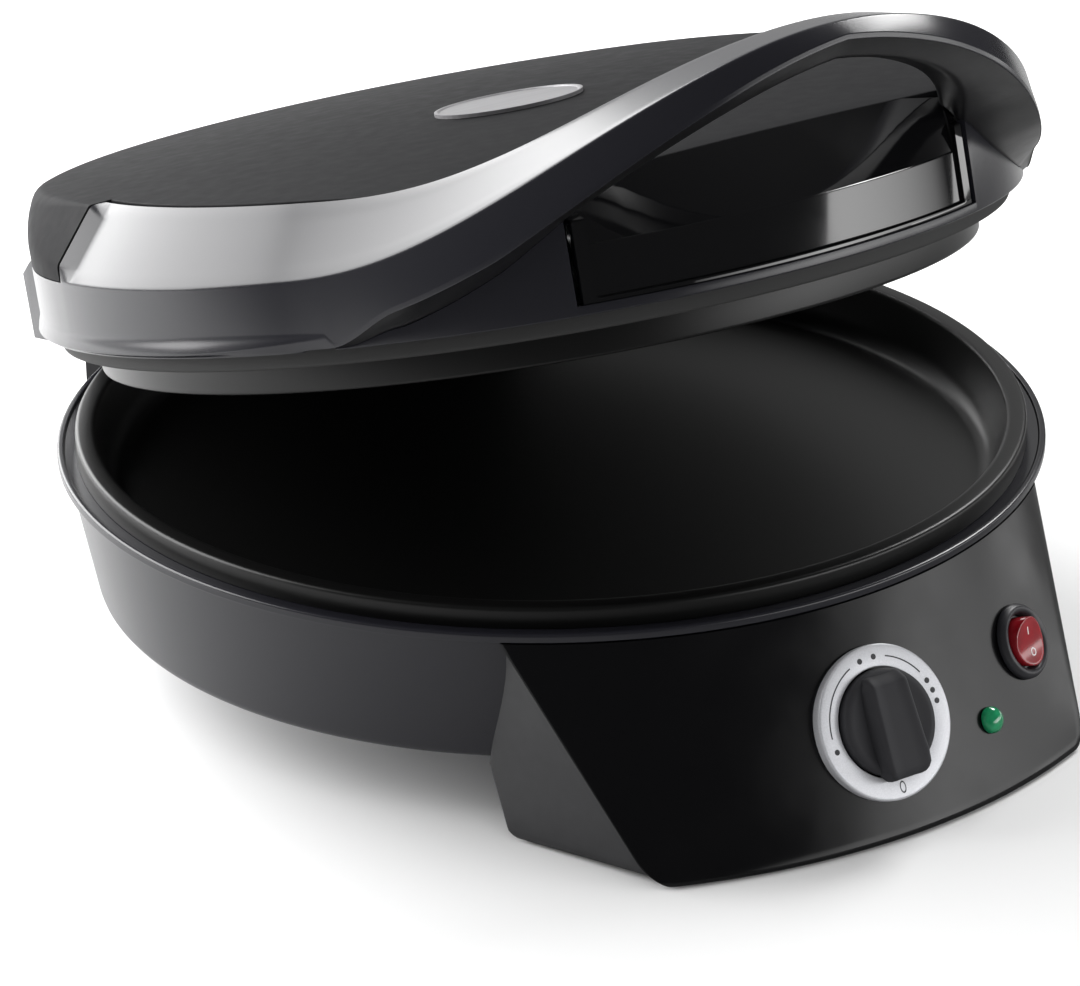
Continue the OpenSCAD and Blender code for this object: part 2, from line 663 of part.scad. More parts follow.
module lid_cover() {
    half = concat([for (a = [0 : band_step : 96]) a], [rear_start + 0.6, rear_start + 0.7],
        [for (a = [102 : 6 : 174]) a]);
    angles = concat([-180], [for (i = [len(half) - 1 : -1 : 1]) -half[i]], half);
    rows = [for (a = angles)
        concat([for (r = [40, 80, 112, 130]) [r, sheet_at(r, a)]],
            abs(a) > rear_start + 0.65 ? wall_rows(a) : sheet_rows(a),
            [for (r = [112, 40]) [r, sheet_at(r, a) - sheet_t]])];
    n = len(rows);
    m = len(rows[0]);
    pts = concat([for (i = [0 : n - 1], p = rows[i]) polar(p[0], angles[i], p[1])],
        [[0, 0, sheet(0, 0)], [0, 0, sheet(0, 0) - sheet_t]]);
    sides = [for (i = [0 : n - 1], j = [0 : m - 2], k = [0, 1])
        let (a = i * m + j, b = a + 1, d = ((i + 1) % n) * m + j, c = d + 1) k == 0 ? [a, b, c] : [a, c, d]];
    poles = [for (i = [0 : n - 1], k = [0, 1])
        let (j = (i + 1) % n) k == 0 ? [n * m, i * m, j * m] : [n * m + 1, j * m + m - 1, i * m + m - 1]];
    color(matte) lid_pose() polyhedron(points = pts, faces = concat(sides, poles), convexity = 6);
}

badge_x = 27.2;
badge_y = 21;

module badge_layer(in, z, h) {
    translate([0, 0, z]) linear_extrude(h)
        scale([badge_x - in, badge_y - in]) circle(r = 1, $fn = 72);
}

module lid_badge() {
    color([0.75, 0.75, 0.77]) lid_pose()
        translate([0, 0, sheet(0, 0) + touch]) rotate([atan(2 * sheet_ky * sheet_y), 0, 0]) difference() {
            badge_layer(0, 0, 1.2);
            badge_layer(2.6, 0.8, 1);
        }
}

carrier_r = 163.3;
carrier_low = -5.9;
upper_r = 151.4;
upper_low = -16.2;

// Heat-resistant ring between the frame and the upper plate
module plate_carrier() {
    color(matte) lid_pose()
        rotate_extrude($fn = 180)
            polygon([[146.4, -touch], [146.4, -3], [upper_r + 0.2, -3], [upper_r + 0.2, carrier_low],
                [carrier_r - 1, carrier_low], [carrier_r, carrier_low + 1], [carrier_r, -0.6],
                [carrier_r - 0.2, -touch]]);
}

module upper_plate() {
    color(coated) lid_pose()
        rotate_extrude($fn = 180)
            polygon([[0, upper_low + 6.2], [140, upper_low + 6.2],
                [144, upper_low + 4.4], [147.4, upper_low + 0.6],
                [148.6, upper_low], [upper_r - 0.8, upper_low], [upper_r, upper_low + 0.8],
                [upper_r, -3 - touch], [146, -3 - touch], [142, upper_low + 9.8], [0, upper_low + 9.8]]);
}

module upper_heater() {
    color([0.45, 0.44, 0.42]) lid_pose() heater(upper_low + 9.8 + heater_tube_r + touch, 1);
}

module upper_reflector() {
    z = 4;
    color(steel) lid_pose()
        difference() {
            rotate_extrude($fn = 120)
                polygon([[0, z + 8], [122, z + 8], [134, z - 3.9], [145, z - 3.9], [145, z - 3.3],
                    [134.2, z - 3.3], [122.2, z + 8.6], [0, z + 8.6]]);
            for (a = [-78, 258]) rotate(a) translate([heater_r, 0, z]) cylinder(r = 6, h = 16, $fn = 32);
        }
}

module heat_limiter() {
    color([0.3, 0.25, 0.2]) lid_pose()
        translate([0, 70, 13 + touch]) {
            cylinder(r = 8, h = 6);
            translate([-12, -4, 0]) cube([24, 8, 1]);
            for (x = [-5, 4]) translate([x, -2, 6 - touch]) cube([1, 4, 6]);
        }
}

hood_inner_r = barrel_r + 1.6;
ear_in = barrel_w + 0.6;

// Outline of the hood seen from above: its ends flare out of the band's side
module hood_plan() {
    half = [[115.2, 124], [110.4, 131.2], [106, 138.2], [102.4, 145.6], [99.8, 153.6],
        [98.4, 162], [hood_w, 171],
        [hood_w, 196], [95.5, 200.4], [91, 202]];
    polygon(concat([[0, 90], [115.2, 90]], half, [for (p = reverse(half)) [-p[0], p[1]]], [[-115.2, 90]]));
}

// Hood over the hinge: a sloped cap behind the lid's wall with an ear at each end that turns on its pin
module hinge_hood() {
    hy = hinge_y;
    hz = hinge_z - lid_z;
    color(gloss) lid_pose()
        difference() {
            intersection() {
                rotate([90, 0, 90]) translate([0, 0, -hood_flare]) linear_extrude(2 * hood_flare)
                    polygon([[104, 0.4], [104, 17.8], [166, 17.8], [172, 16.4],
                        [190, 7.4], [197, 2.8], [200.4, -2.4],
                        [201.6, -9], [201.8, -16], [199.6, -20.4], [186, -21], [178, -14], [174, 0.4]]);
                translate([0, 0, -30]) linear_extrude(60) hood_plan();
            }
            // the flared wings lie on the outside of the band
            difference() {
                translate([0, 0, -1]) cylinder(r = lid_r + gap, h = 60);
                translate([-hood_w, 0, -2]) cube([2 * hood_w, 200, 62]);
            }
            // inside the lid the hood is only a low tongue, clear of the heater and its reflector
            translate([0, 0, -30]) cylinder(r = carrier_r + 0.3, h = 60);
            // the base's barrel turns inside the hood between the ears
            translate([-ear_in, hy, hz]) rotate([0, 90, 0]) cylinder(r = hood_inner_r, h = 2 * ear_in);
            translate([-ear_in, hy - 45, hz - 40]) cube([2 * ear_in, 45 + 6, 40 + 3]);
            translate([-ear_in, hy - 45, hz - 40]) cube([2 * ear_in, 80, 38]);
            // pin bores
            for (s = [-1, 1]) translate([s * (ear_in - 1), hy, hz]) rotate([0, s * 90, 0])
                cylinder(r = pin_r + 0.05, h = 25);
            // the ears are open below, as moulded
            for (s = [-1, 1]) translate([s < 0 ? -95 : 81, hy + 5.5, hz - 20]) cube([14, 4, 17]);
        }
}

module lid_screws() {
    color(steel) lid_pose()
        for (a = [30 : 60 : 330]) rotate(a) translate([143.5, 0, -5.4 + touch]) screw(1.6, 1.6);
}

base_housing();
front_pedestal();
control_panel();
pedestal_cover();
bottom_cover();
rear_housing();
hinge_pins();
rubber_feet();
lower_plate();
lower_heater();
lower_reflector();
thermostat();
thermal_fuse();
terminal_block();
dial_ring();
switch_housing();
pilot_lens();
pilot_holder();
cord_bush();
base_screws();
knob();
knob_shaft();
switch_rocker();
lid_frame();
handle_underside();
front_skirt();
front_insert();
lid_cover();
lid_badge();
plate_carrier();
upper_plate();
upper_heater();
upper_reflector();
heat_limiter();
hinge_hood();
lid_screws();
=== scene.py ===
"""Electric pizza maker: the finished look of each piece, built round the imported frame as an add-on."""

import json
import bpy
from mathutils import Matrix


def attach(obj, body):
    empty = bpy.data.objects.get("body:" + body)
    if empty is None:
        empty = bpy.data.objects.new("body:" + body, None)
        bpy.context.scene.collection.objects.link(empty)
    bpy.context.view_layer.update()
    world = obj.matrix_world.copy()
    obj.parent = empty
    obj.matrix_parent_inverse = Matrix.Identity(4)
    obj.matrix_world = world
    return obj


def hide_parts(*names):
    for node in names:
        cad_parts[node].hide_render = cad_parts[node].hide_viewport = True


bl_info = {
    "name": "Electric Pizza Maker",
    "version": (1, 0, 0),
    "blender": (4, 5, 0),
    "location": "View3D > Sidebar > Pizza Maker",
    "description": "Builds the pieces, materials and studio of an electric pizza maker with a hinged lid",
    "category": "Add Mesh",
}

from math import asin, atan2, cos, degrees, pi, radians, sin, sqrt

import bmesh
import bpy
from bpy.props import FloatProperty, FloatVectorProperty, PointerProperty
from bpy.types import Operator, Panel, PropertyGroup
from mathutils import Matrix, Vector

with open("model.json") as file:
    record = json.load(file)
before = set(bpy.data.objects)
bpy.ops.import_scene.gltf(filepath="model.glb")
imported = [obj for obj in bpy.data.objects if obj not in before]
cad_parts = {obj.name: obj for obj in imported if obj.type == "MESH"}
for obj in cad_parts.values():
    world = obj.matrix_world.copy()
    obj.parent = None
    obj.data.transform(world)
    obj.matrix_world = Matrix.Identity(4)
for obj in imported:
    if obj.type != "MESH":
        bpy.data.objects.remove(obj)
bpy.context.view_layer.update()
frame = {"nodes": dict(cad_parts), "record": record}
JOINTS = {joint["name"]: joint for joint in frame["record"]["behaviour"]["joints"]}
MM = 0.001

# ---------- sizes in millimetres ----------

FLANGE_R = 170.0
FLANGE_Z = 71.0
LIP_H = 3.0
BOWL_Z = 24.0
BOWL_TOP_R = 167.0
BOWL_LOW_R = 158.2
BOWL_OPEN_R = 146.0
BOWL_T = 2.6
SEAT_Z = FLANGE_Z + 2
RIM_Z = FLANGE_Z + 9.3
PAN_R = 163.5
PAN_IN_R = 156.5
PAN_FLOOR_Z = RIM_Z - 20
PAN_T = 3.5

PANEL_FOOT_W = 87.0
PANEL_FOOT_Y = 205.0
FOOT_SAG = 18.0
FOOT_R = (PANEL_FOOT_W**2 + FOOT_SAG**2) / (2 * FOOT_SAG)
FOOT_CY = FOOT_R - PANEL_FOOT_Y
TOP_HALF = radians(39.4)
FOOT_HALF = asin(PANEL_FOOT_W / FOOT_R)
PANEL_LEAN = radians(26.2)
PANEL_T = 2.2
PANEL_CORNER_R = 9.0
# Features on the panel: share of its half width, share of its height, turn about Z
DIAL = (0.005, 0.49, radians(0.2))
ROCKER = (0.681, 0.537, radians(22.4))
LAMP = (0.456, 0.325, radians(13.4))
DIAL_R = 25.25
DIAL_H = 2.3
MARK_FOOT = DIAL_H - 0.04
KNOB_R = 17.3

LID_R = 168.7
CREASE_W = 22.9
CROWN_W = 49.8
BAND_IN = 3.0
TOP_R = 149.0
COVER_T = 2.5
SHEET_Y = 32.0
SHEET_KY = 0.00024
SHEET_KX = 0.00017
HANDLE_REACH = 34.3
HANDLE_W = 77.4
HANDLE_ANGLE = 60.0
HANDLE_IN_REACH = 33.0
HANDLE_IN_RISE = 36.0
HANDLE_STEEPNESS = 2.3
BAND_LOW_DEPTH = 17.2
WING = 27.6
TIP = 54.0
REAR_START = 97.0
STRIP_START = 94.8
SHOULDER_R = 154.0
SHOULDER_UP = 5.6
SILL = 3.2
INSERT_X = 75.8
CHEEK_X = 71.4
INSERT_CREASE = 21.5
INSERT_TOP_Y = -146.0
CARRIER_R = 163.3
CARRIER_LOW = -5.9
UPPER_R = 151.4
UPPER_LOW = -16.2
UPPER_TOP = -3.0
LID_Z = 86.8

HINGE = Vector(JOINTS["lid_hinge"]["pos_m"]) / MM
LID_OPEN = radians(-JOINTS["lid_hinge"]["range_deg"][0])
LID = (
    Matrix.Translation(HINGE)
    @ Matrix.Rotation(-LID_OPEN, 4, "X")
    @ Matrix.Translation((0, -HINGE.y, LID_Z - HINGE.z))
)

# ---------- the studio, in metres and degrees ----------

FLOOR_R = 1.35
SENSOR_W = 36
CAMERA_LENS = 163.97
CAMERA_SHIFT = (-0.01024, -0.0583)
CAMERA_ROLL = radians(-0.91)
LAMP_TARGET = Vector((0, -0.05, 0.18))
# name, azimuth from the front towards +X, elevation, distance, width and height, brightness, spread;
# the narrow spread makes the front one brightest in its middle
SOFTBOXES = (
    ("softbox_behind", -152, 25, 1.5, (2.3, 1.25), 6.8, 180),
    ("softbox_right", 108, 37, 1.5, (0.64, 0.44), 15.0, 180),
    ("softbox_front", 40, 3, 1.5, (2.3, 0.42), 0.96, 80),
    ("softbox_low", 82, -4, 1.4, (1.1, 0.14), 2.4, 180),
)

# ---------- formulas shared by the lid's pieces; angles in degrees from the front ----------


def ease(t):
    t = max(0.0, min(1.0, t))
    return t * t * (3 - 2 * t)


def mix(a, b, t):
    return a + (b - a) * t


def mix2(a, b, t):
    return (mix(a[0], b[0], t), mix(a[1], b[1], t))


def polar(r, angle, z):
    a = radians(angle)
    return Vector((r * sin(a), -r * cos(a), z))


def sheet(x, y):
    """Height of the crowned top sheet above the lid's rim."""
    return CROWN_W - SHEET_KY * (y - SHEET_Y) ** 2 - SHEET_KX * x * x


def sheet_at(r, angle):
    p = polar(r, angle, 0)
    return sheet(p.x, p.y)


def peel(a):
    """How far the handle has left the lid's side: 1 at the front, 0 where it starts."""
    return ease((HANDLE_ANGLE - abs(a)) / 50)


def rise(a):
    """How far the handle has risen: 1 at the front, 0 where it starts."""
    return cos(pi / 2 * a / HANDLE_ANGLE) if abs(a) < HANDLE_ANGLE else 0.0


def crease_at(a):
    """The band's sharp edge as (radius, height above the rim), like the formulas below."""
    high = CREASE_W + (HANDLE_W - CREASE_W) * rise(a) ** HANDLE_STEEPNESS
    return (LID_R + (HANDLE_REACH - 5) * peel(a), high)


def band_depth(a):
    """Height of the band's outer face: it deepens to the low depth, and from the tip on reaches the rim."""
    deep = ease((abs(a) - 46) / 8)
    return min(5.8 + 0.33 * abs(a), BAND_LOW_DEPTH) + deep * (CREASE_W - BAND_LOW_DEPTH)


def low_at(a):
    return (LID_R + HANDLE_REACH * peel(a), max(0.6, crease_at(a)[1] - band_depth(a)))


def inner_at(a):
    near = ease((HANDLE_ANGLE - abs(a)) / HANDLE_ANGLE)
    return (TOP_R + HANDLE_IN_REACH * near, sheet_at(TOP_R, a) + HANDLE_IN_RISE * rise(a) ** 3)


def under_at(a):
    low, k = low_at(a), abs(a) / 30
    fade = max(0.0, min(1.0, (TIP - abs(a)) / 8))
    return (max(LID_R - 0.3, low[0] - 7 - 22 * k * k), low[1] - 6 * fade)


def heel_at(a):
    under = under_at(a)
    return (max(LID_R - BAND_IN, under[0] - 10), under[1] + 0.4)


def back_at(a):
    inner, w = inner_at(a), ease((abs(a) - 12) / 20)
    below = inner[1] - 5
    return (inner[0] - 1.5 - w, mix(below, min(below, sheet_at(TOP_R, a) - 4), w))


def steps(first, last, size):
    """Even steps from first to last, no longer than size."""
    count = max(1, round(abs(last - first) / size))
    return [mix(first, last, i / count) for i in range(count + 1)]


# ---------- mesh tools ----------


def loft(sections, around=False):
    """Extrudes the first section's ring from place to place; around joins the last to the first."""
    bm = bmesh.new()
    ring = [bm.verts.new(p) for p in sections[0]]
    edges = [bm.edges.new(pair) for pair in zip(ring, ring[1:] + ring[:1])]
    for section in sections[1:] + (sections[:1] if around else []):
        made = bmesh.ops.extrude_edge_only(bm, edges=edges)["geom"]
        fresh = {g for g in made if isinstance(g, bmesh.types.BMVert)}
        ring = [next(e.other_vert(v) for e in v.link_edges if e.other_vert(v) in fresh) for v in ring]
        for vert, place in zip(ring, section):
            vert.co = place
        edges = [bm.edges.get(pair) for pair in zip(ring, ring[1:] + ring[:1])]
    if around:
        bmesh.ops.remove_doubles(bm, verts=bm.verts, dist=1e-4)
    else:
        bmesh.ops.holes_fill(bm, edges=[e for e in bm.edges if e.is_boundary], sides=0)
    return bm


def revolve(profile, count=180, closed=True):
    """Spins a profile of (radius, height) points round the Z axis."""
    bm = bmesh.new()
    verts = [bm.verts.new((r, 0, z)) for r, z in profile]
    pairs = list(zip(verts, verts[1:]))
    if closed:
        pairs.append((verts[-1], verts[0]))
    edges = [bm.edges.new(pair) for pair in pairs]
    bmesh.ops.spin(
        bm, geom=verts + edges, cent=(0, 0, 0), axis=(0, 0, 1), angle=2 * pi, steps=count, use_merge=True
    )
    bmesh.ops.remove_doubles(bm, verts=bm.verts, dist=1e-4)
    bmesh.ops.dissolve_degenerate(bm, edges=bm.edges, dist=1e-4)
    return bm


def rod(radius, z0, z1, count=48):
    bm = bmesh.new()
    bmesh.ops.create_cone(
        bm, cap_ends=True, segments=count, radius1=radius, radius2=radius, depth=z1 - z0,
        matrix=Matrix.Translation((0, 0, (z0 + z1) / 2)),
    )
    return bm


def round_edges(bm, width, over, segments):
    """Bevels every edge that turns more than over degrees."""
    bmesh.ops.recalc_face_normals(bm, faces=bm.faces)
    sharp = [e for e in bm.edges if e.is_manifold and e.calc_face_angle() > radians(over)]
    bmesh.ops.bevel(
        bm, geom=sharp, offset=width, offset_type="OFFSET", affect="EDGES", segments=segments,
        profile=0.5, clamp_overlap=True, material=-1,
    )
    return bm


def panel_point(t, s, inset=0.0):
    """A point on the control panel: a ruled surface from the flange's circle to a wider arc below."""
    top_r, low_r = FLANGE_R - inset, FOOT_R - inset
    top = Vector((top_r * sin(TOP_HALF * t), -top_r * cos(TOP_HALF * t), FLANGE_Z))
    low = Vector((low_r * sin(FOOT_HALF * t), FOOT_CY - low_r * cos(FOOT_HALF * t), 0))
    return low.lerp(top, s)


def edge_share(s):
    """Share of the panel's width that is left at height share s, where its lower corners are rounded."""
    d = min(PANEL_CORNER_R, max(0.0, PANEL_CORNER_R - s * FLANGE_Z))
    return 1 - (PANEL_CORNER_R - sqrt(PANEL_CORNER_R**2 - d * d)) / PANEL_FOOT_W


def panel_arc(s, inset, shares):
    return [panel_point(t * edge_share(s), s, inset) for t in shares]


def on_panel(spot):
    """Matrix that puts a piece on the panel, with Z along the panel's outward normal."""
    return (
        Matrix.Translation(panel_point(spot[0], spot[1]))
        @ Matrix.Rotation(spot[2], 4, "Z")
        @ Matrix.Rotation(pi / 2 - PANEL_LEAN, 4, "X")
    )


def make_piece(name, bm, body, material, place=None, replaces=(), soft_angle=38):
    """Turns a bmesh in millimetres into a smooth-shaded piece in metres that rides on a body."""
    if place is not None:
        bmesh.ops.transform(bm, matrix=place, verts=bm.verts)
    bmesh.ops.scale(bm, vec=(MM, MM, MM), verts=bm.verts)
    bmesh.ops.recalc_face_normals(bm, faces=bm.faces)
    for face in bm.faces:
        face.smooth = True
    for edge in bm.edges:
        edge.smooth = edge.is_manifold and edge.calc_face_angle() < radians(soft_angle)
    mesh = bpy.data.meshes.new(name)
    bm.to_mesh(mesh)
    bm.free()
    mesh.materials.append(material)
    piece = bpy.data.objects.new(name, mesh)
    bpy.context.scene.collection.objects.link(piece)
    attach(piece, body)
    if replaces:
        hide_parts(*replaces)
    return piece


# ---------- materials ----------


def new_material(name, colour, rough, metal=0.0, coat=0.0):
    """A Principled material and its shader, or the material that has the name already and None."""
    material = bpy.data.materials.get(name)
    if material:
        return material, None
    material = bpy.data.materials.new(name)
    material.use_nodes = True
    shader = material.node_tree.nodes["Principled BSDF"]
    shader.inputs["Base Color"].default_value = (*colour, 1)
    shader.inputs["Roughness"].default_value = rough
    shader.inputs["Metallic"].default_value = metal
    shader.inputs["Coat Weight"].default_value = coat
    shader.inputs["Coat Roughness"].default_value = 0.03
    return material, shader


def noise_on(material, scale, detail=3.0, stretch=(1, 1, 1)):
    nodes, links = material.node_tree.nodes, material.node_tree.links
    where = nodes.new("ShaderNodeTexCoord")
    mapping = nodes.new("ShaderNodeMapping")
    mapping.inputs["Scale"].default_value = stretch
    noise = nodes.new("ShaderNodeTexNoise")
    noise.inputs["Scale"].default_value = scale
    noise.inputs["Detail"].default_value = detail
    links.new(where.outputs["Object"], mapping.inputs["Vector"])
    links.new(mapping.outputs["Vector"], noise.inputs["Vector"])
    return noise.outputs["Fac"]


def spread(material, value, low, high):
    """Maps a 0 to 1 value to a range, centred as noise is."""
    nodes, links = material.node_tree.nodes, material.node_tree.links
    ramp = nodes.new("ShaderNodeMapRange")
    ramp.inputs["From Min"].default_value = 0.3
    ramp.inputs["From Max"].default_value = 0.7
    ramp.inputs["To Min"].default_value = low
    ramp.inputs["To Max"].default_value = high
    links.new(value, ramp.inputs["Value"])
    return ramp.outputs["Result"]


def vary_roughness(material, shader, scale, low, high):
    """Gives the surface duller and shinier patches."""
    patches = spread(material, noise_on(material, scale), low, high)
    material.node_tree.links.new(patches, shader.inputs["Roughness"])


def tint(material, shader, value, dark, light):
    nodes, links = material.node_tree.nodes, material.node_tree.links
    ramp = nodes.new("ShaderNodeValToRGB")
    ramp.color_ramp.elements[0].position = 0.3
    ramp.color_ramp.elements[1].position = 0.7
    ramp.color_ramp.elements[0].color = (*dark, 1)
    ramp.color_ramp.elements[1].color = (*light, 1)
    links.new(value, ramp.inputs["Fac"])
    links.new(ramp.outputs["Color"], shader.inputs["Base Color"])


def bump(material, shader, value, strength, depth_mm):
    nodes, links = material.node_tree.nodes, material.node_tree.links
    node = nodes.new("ShaderNodeBump")
    node.inputs["Strength"].default_value = strength
    node.inputs["Distance"].default_value = depth_mm * MM
    links.new(value, node.inputs["Height"])
    links.new(node.outputs["Normal"], shader.inputs["Normal"])


def polished(name, rough, coat, ior=1.5):
    """Polished black plastic with a faint ripple from the mould and fine dulled patches."""
    material, shader = new_material(name, (0.003, 0.003, 0.0035), rough, coat=coat)
    if shader:
        shader.inputs["IOR"].default_value = ior
        vary_roughness(material, shader, 45, rough * 0.8, rough * 1.3)
        bump(material, shader, noise_on(material, 140, 1.0), 0.04, 0.04)
    return material


def gloss_black():
    return polished("gloss_black", 0.04, 0.25)


def panel_gloss():
    """The control panel's softer gloss."""
    return polished("panel_gloss", 0.18, 0.0, 1.34)


def insert_gloss():
    """The lid insert's mirror gloss."""
    return polished("insert_gloss", 0.06, 0.5)


def grained(name, colour, rough, grain_mm, depth, strength=0.4, sheen=0.5):
    """Moulded plastic with a spark-eroded grain of the given size."""
    material, shader = new_material(name, colour, rough)
    if shader:
        shader.inputs["Specular IOR Level"].default_value = sheen
        bump(material, shader, noise_on(material, 1.0 / (grain_mm * MM), 2.0), strength, depth)
        tint(material, shader, noise_on(material, 240), tuple(c * 0.85 for c in colour), colour)
        vary_roughness(material, shader, 170, rough - 0.03, rough + 0.03)
    return material


def satin_black():
    return grained("satin_black", (0.01, 0.01, 0.011), 0.54, 0.5, 0.03, 0.2, 0.03)


def pedestal_black():
    return grained("pedestal_black", (0.026, 0.026, 0.028), 0.36, 0.6, 0.03, 0.25)


def handle_grain():
    return grained("handle_grain", (0.008, 0.008, 0.009), 0.33, 0.7, 0.04)


def carrier_black():
    return grained("carrier_black", (0.02, 0.02, 0.021), 0.5, 0.8, 0.05)


def coated_plate():
    """Sprayed non-stick coating on cast aluminium: a fine stipple with small dark flecks."""
    material, shader = new_material("coated_plate", (0.03, 0.03, 0.032), 0.5)
    if shader:
        bump(material, shader, noise_on(material, 900, 3.0), 0.5, 0.06)
        tint(material, shader, noise_on(material, 1400, 4.0), (0.018, 0.018, 0.019), (0.045, 0.045, 0.047))
        vary_roughness(material, shader, 80, 0.42, 0.58)
    return material


def silver_paint():
    material, shader = new_material("silver_paint", (0.5, 0.505, 0.53), 0.34, metal=0.3)
    if shader:
        bump(material, shader, noise_on(material, 2500, 1.0), 0.08, 0.02)
        tint(material, shader, noise_on(material, 3000, 1.0), (0.46, 0.465, 0.49), (0.54, 0.545, 0.57))
    return material


def brushed_silver():
    """Satin plate brushed along X."""
    material, shader = new_material("brushed_silver", (0.23, 0.226, 0.235), 0.36, metal=0.45)
    if shader:
        lines = noise_on(material, 700, 4.0, (0.04, 1, 1))
        bump(material, shader, lines, 0.12, 0.03)
        tint(material, shader, lines, (0.2, 0.197, 0.204), (0.26, 0.256, 0.265))
        shader.inputs["Specular IOR Level"].default_value = 0.3
    return material


def plain_steel():
    material, shader = new_material("plain_steel", (0.55, 0.55, 0.56), 0.35, metal=1.0)
    if shader:
        bump(material, shader, noise_on(material, 500, 4.0, (0.08, 1, 1)), 0.15, 0.03)
        tint(material, shader, noise_on(material, 20), (0.45, 0.45, 0.46), (0.6, 0.6, 0.61))
    return material


def dark_steel():
    material, shader = new_material("dark_steel", (0.25, 0.23, 0.21), 0.45, metal=0.9)
    if shader:
        tint(material, shader, noise_on(material, 90), (0.18, 0.16, 0.14), (0.3, 0.27, 0.25))
        bump(material, shader, noise_on(material, 900), 0.2, 0.03)
    return material


def cream_ceramic():
    return grained("cream_ceramic", (0.8, 0.77, 0.7), 0.6, 0.4, 0.05)


def white_plastic():
    return grained("white_plastic", (0.78, 0.78, 0.76), 0.4, 0.5, 0.03)


def grey_paint():
    return grained("grey_paint", (0.4, 0.4, 0.42), 0.4, 0.5, 0.03)


def black_rubber():
    return grained("black_rubber", (0.02, 0.02, 0.02), 0.7, 0.5, 0.08)


def knob_black():
    return grained("knob_black", (0.004, 0.004, 0.005), 0.26, 0.4, 0.03, 0.3, 0.16)


def switch_black():
    return grained("switch_black", (0.018, 0.018, 0.02), 0.36, 0.4, 0.03, 0.3)


def red_lens():
    material, shader = new_material("red_lens", (0.22, 0.005, 0.01), 0.14, coat=0.2)
    if shader:
        shader.inputs["Transmission Weight"].default_value = 0.15
        tint(material, shader, noise_on(material, 90), (0.17, 0.004, 0.008), (0.3, 0.008, 0.015))
        bump(material, shader, noise_on(material, 300, 1.0), 0.05, 0.03)
    return material


def green_lens():
    material, shader = new_material("green_lens", (0.01, 0.28, 0.11), 0.1, coat=0.6)
    if shader:
        shader.inputs["Transmission Weight"].default_value = 0.25
        tint(material, shader, noise_on(material, 300), (0.008, 0.2, 0.08), (0.02, 0.36, 0.15))
    return material


def mark_ink(name, colour):
    return grained(name, colour, 0.5, 0.3, 0.01)


CAD_FINISHES = {
    "pedestal_cover": pedestal_black,
    "bottom_cover": plain_steel,
    "rear_housing": satin_black,
    "hinge_pins": plain_steel,
    "rubber_feet": black_rubber,
    "lower_heater": dark_steel,
    "upper_heater": dark_steel,
    "lower_reflector": plain_steel,
    "upper_reflector": plain_steel,
    "thermostat": plain_steel,
    "thermal_fuse": grey_paint,
    "terminal_block": cream_ceramic,
    "heat_limiter": cream_ceramic,
    "pilot_holder": white_plastic,
    "cord_bush": black_rubber,
    "base_screws": plain_steel,
    "lid_screws": plain_steel,
    "knob_shaft": plain_steel,
    "base_housing": gloss_black,
    "front_pedestal": pedestal_black,
    "control_panel": panel_gloss,
    "lower_plate": coated_plate,
    "dial_ring": silver_paint,
    "switch_housing": switch_black,
    "pilot_lens": green_lens,
    "knob": knob_black,
    "switch_rocker": red_lens,
    "lid_frame": gloss_black,
    "handle_underside": handle_grain,
    "front_skirt": gloss_black,
    "front_insert": insert_gloss,
    "lid_cover": satin_black,
    "lid_badge": brushed_silver,
    "plate_carrier": carrier_black,
    "upper_plate": coated_plate,
    "hinge_hood": gloss_black,
}


# ---------- sizes and colours that a user would change ----------


class PizzaMakerSizes(PropertyGroup):
    floor_colour: FloatVectorProperty(
        name="Floor colour", description="Colour of the floor under the pizza maker",
        default=(0.9, 0.9, 0.9), subtype="COLOR", size=3, min=0, max=1,
    )
    camera_azimuth: FloatProperty(
        name="Camera azimuth", description="Direction that the camera looks from, seen from above",
        default=radians(-33.46), subtype="ANGLE", unit="ROTATION",
    )
    camera_elevation: FloatProperty(
        name="Camera elevation", description="Angle of the camera above the horizon",
        default=radians(23.23), subtype="ANGLE", unit="ROTATION",
    )
    camera_distance: FloatProperty(
        name="Camera distance", description="Distance of the camera from the middle of the flange",
        default=1.6988, unit="LENGTH", min=0.5,
    )


# ---------- pieces ----------


def rounded(corners, turns=3):
    """Rounds a closed outline of (x, y, radius) corners with short curves of turns + 1 points."""
    outline = []
    for before, corner, after in zip(corners[-1:] + corners[:-1], corners, corners[1:] + corners[:1]):
        place = Vector(corner[:2])
        arms = [Vector(other[:2]) - place for other in (before, after)]
        reach = min([corner[2]] + [0.45 * arm.length for arm in arms])
        if reach < 1e-3:
            outline += [tuple(place)] * (turns + 1)
            continue
        start, end = (place + arm.normalized() * reach for arm in arms)
        for i in range(turns + 1):
            t = i / turns
            outline.append(tuple(start * (1 - t) ** 2 + place * 2 * t * (1 - t) + end * t * t))
    return outline


def refined(node, width):
    """A bmesh in millimetres from a copy of a frame node, its triangles joined and its edges eased."""
    bm = bmesh.new()
    bm.from_mesh(frame["nodes"][node].data)
    bmesh.ops.scale(bm, vec=(1 / MM, 1 / MM, 1 / MM), verts=bm.verts)
    bmesh.ops.remove_doubles(bm, verts=bm.verts, dist=2e-3)
    bmesh.ops.dissolve_limit(
        bm, angle_limit=radians(1.5), use_dissolve_boundaries=False, verts=bm.verts, edges=bm.edges
    )
    return round_edges(bm, width, over=30, segments=2)


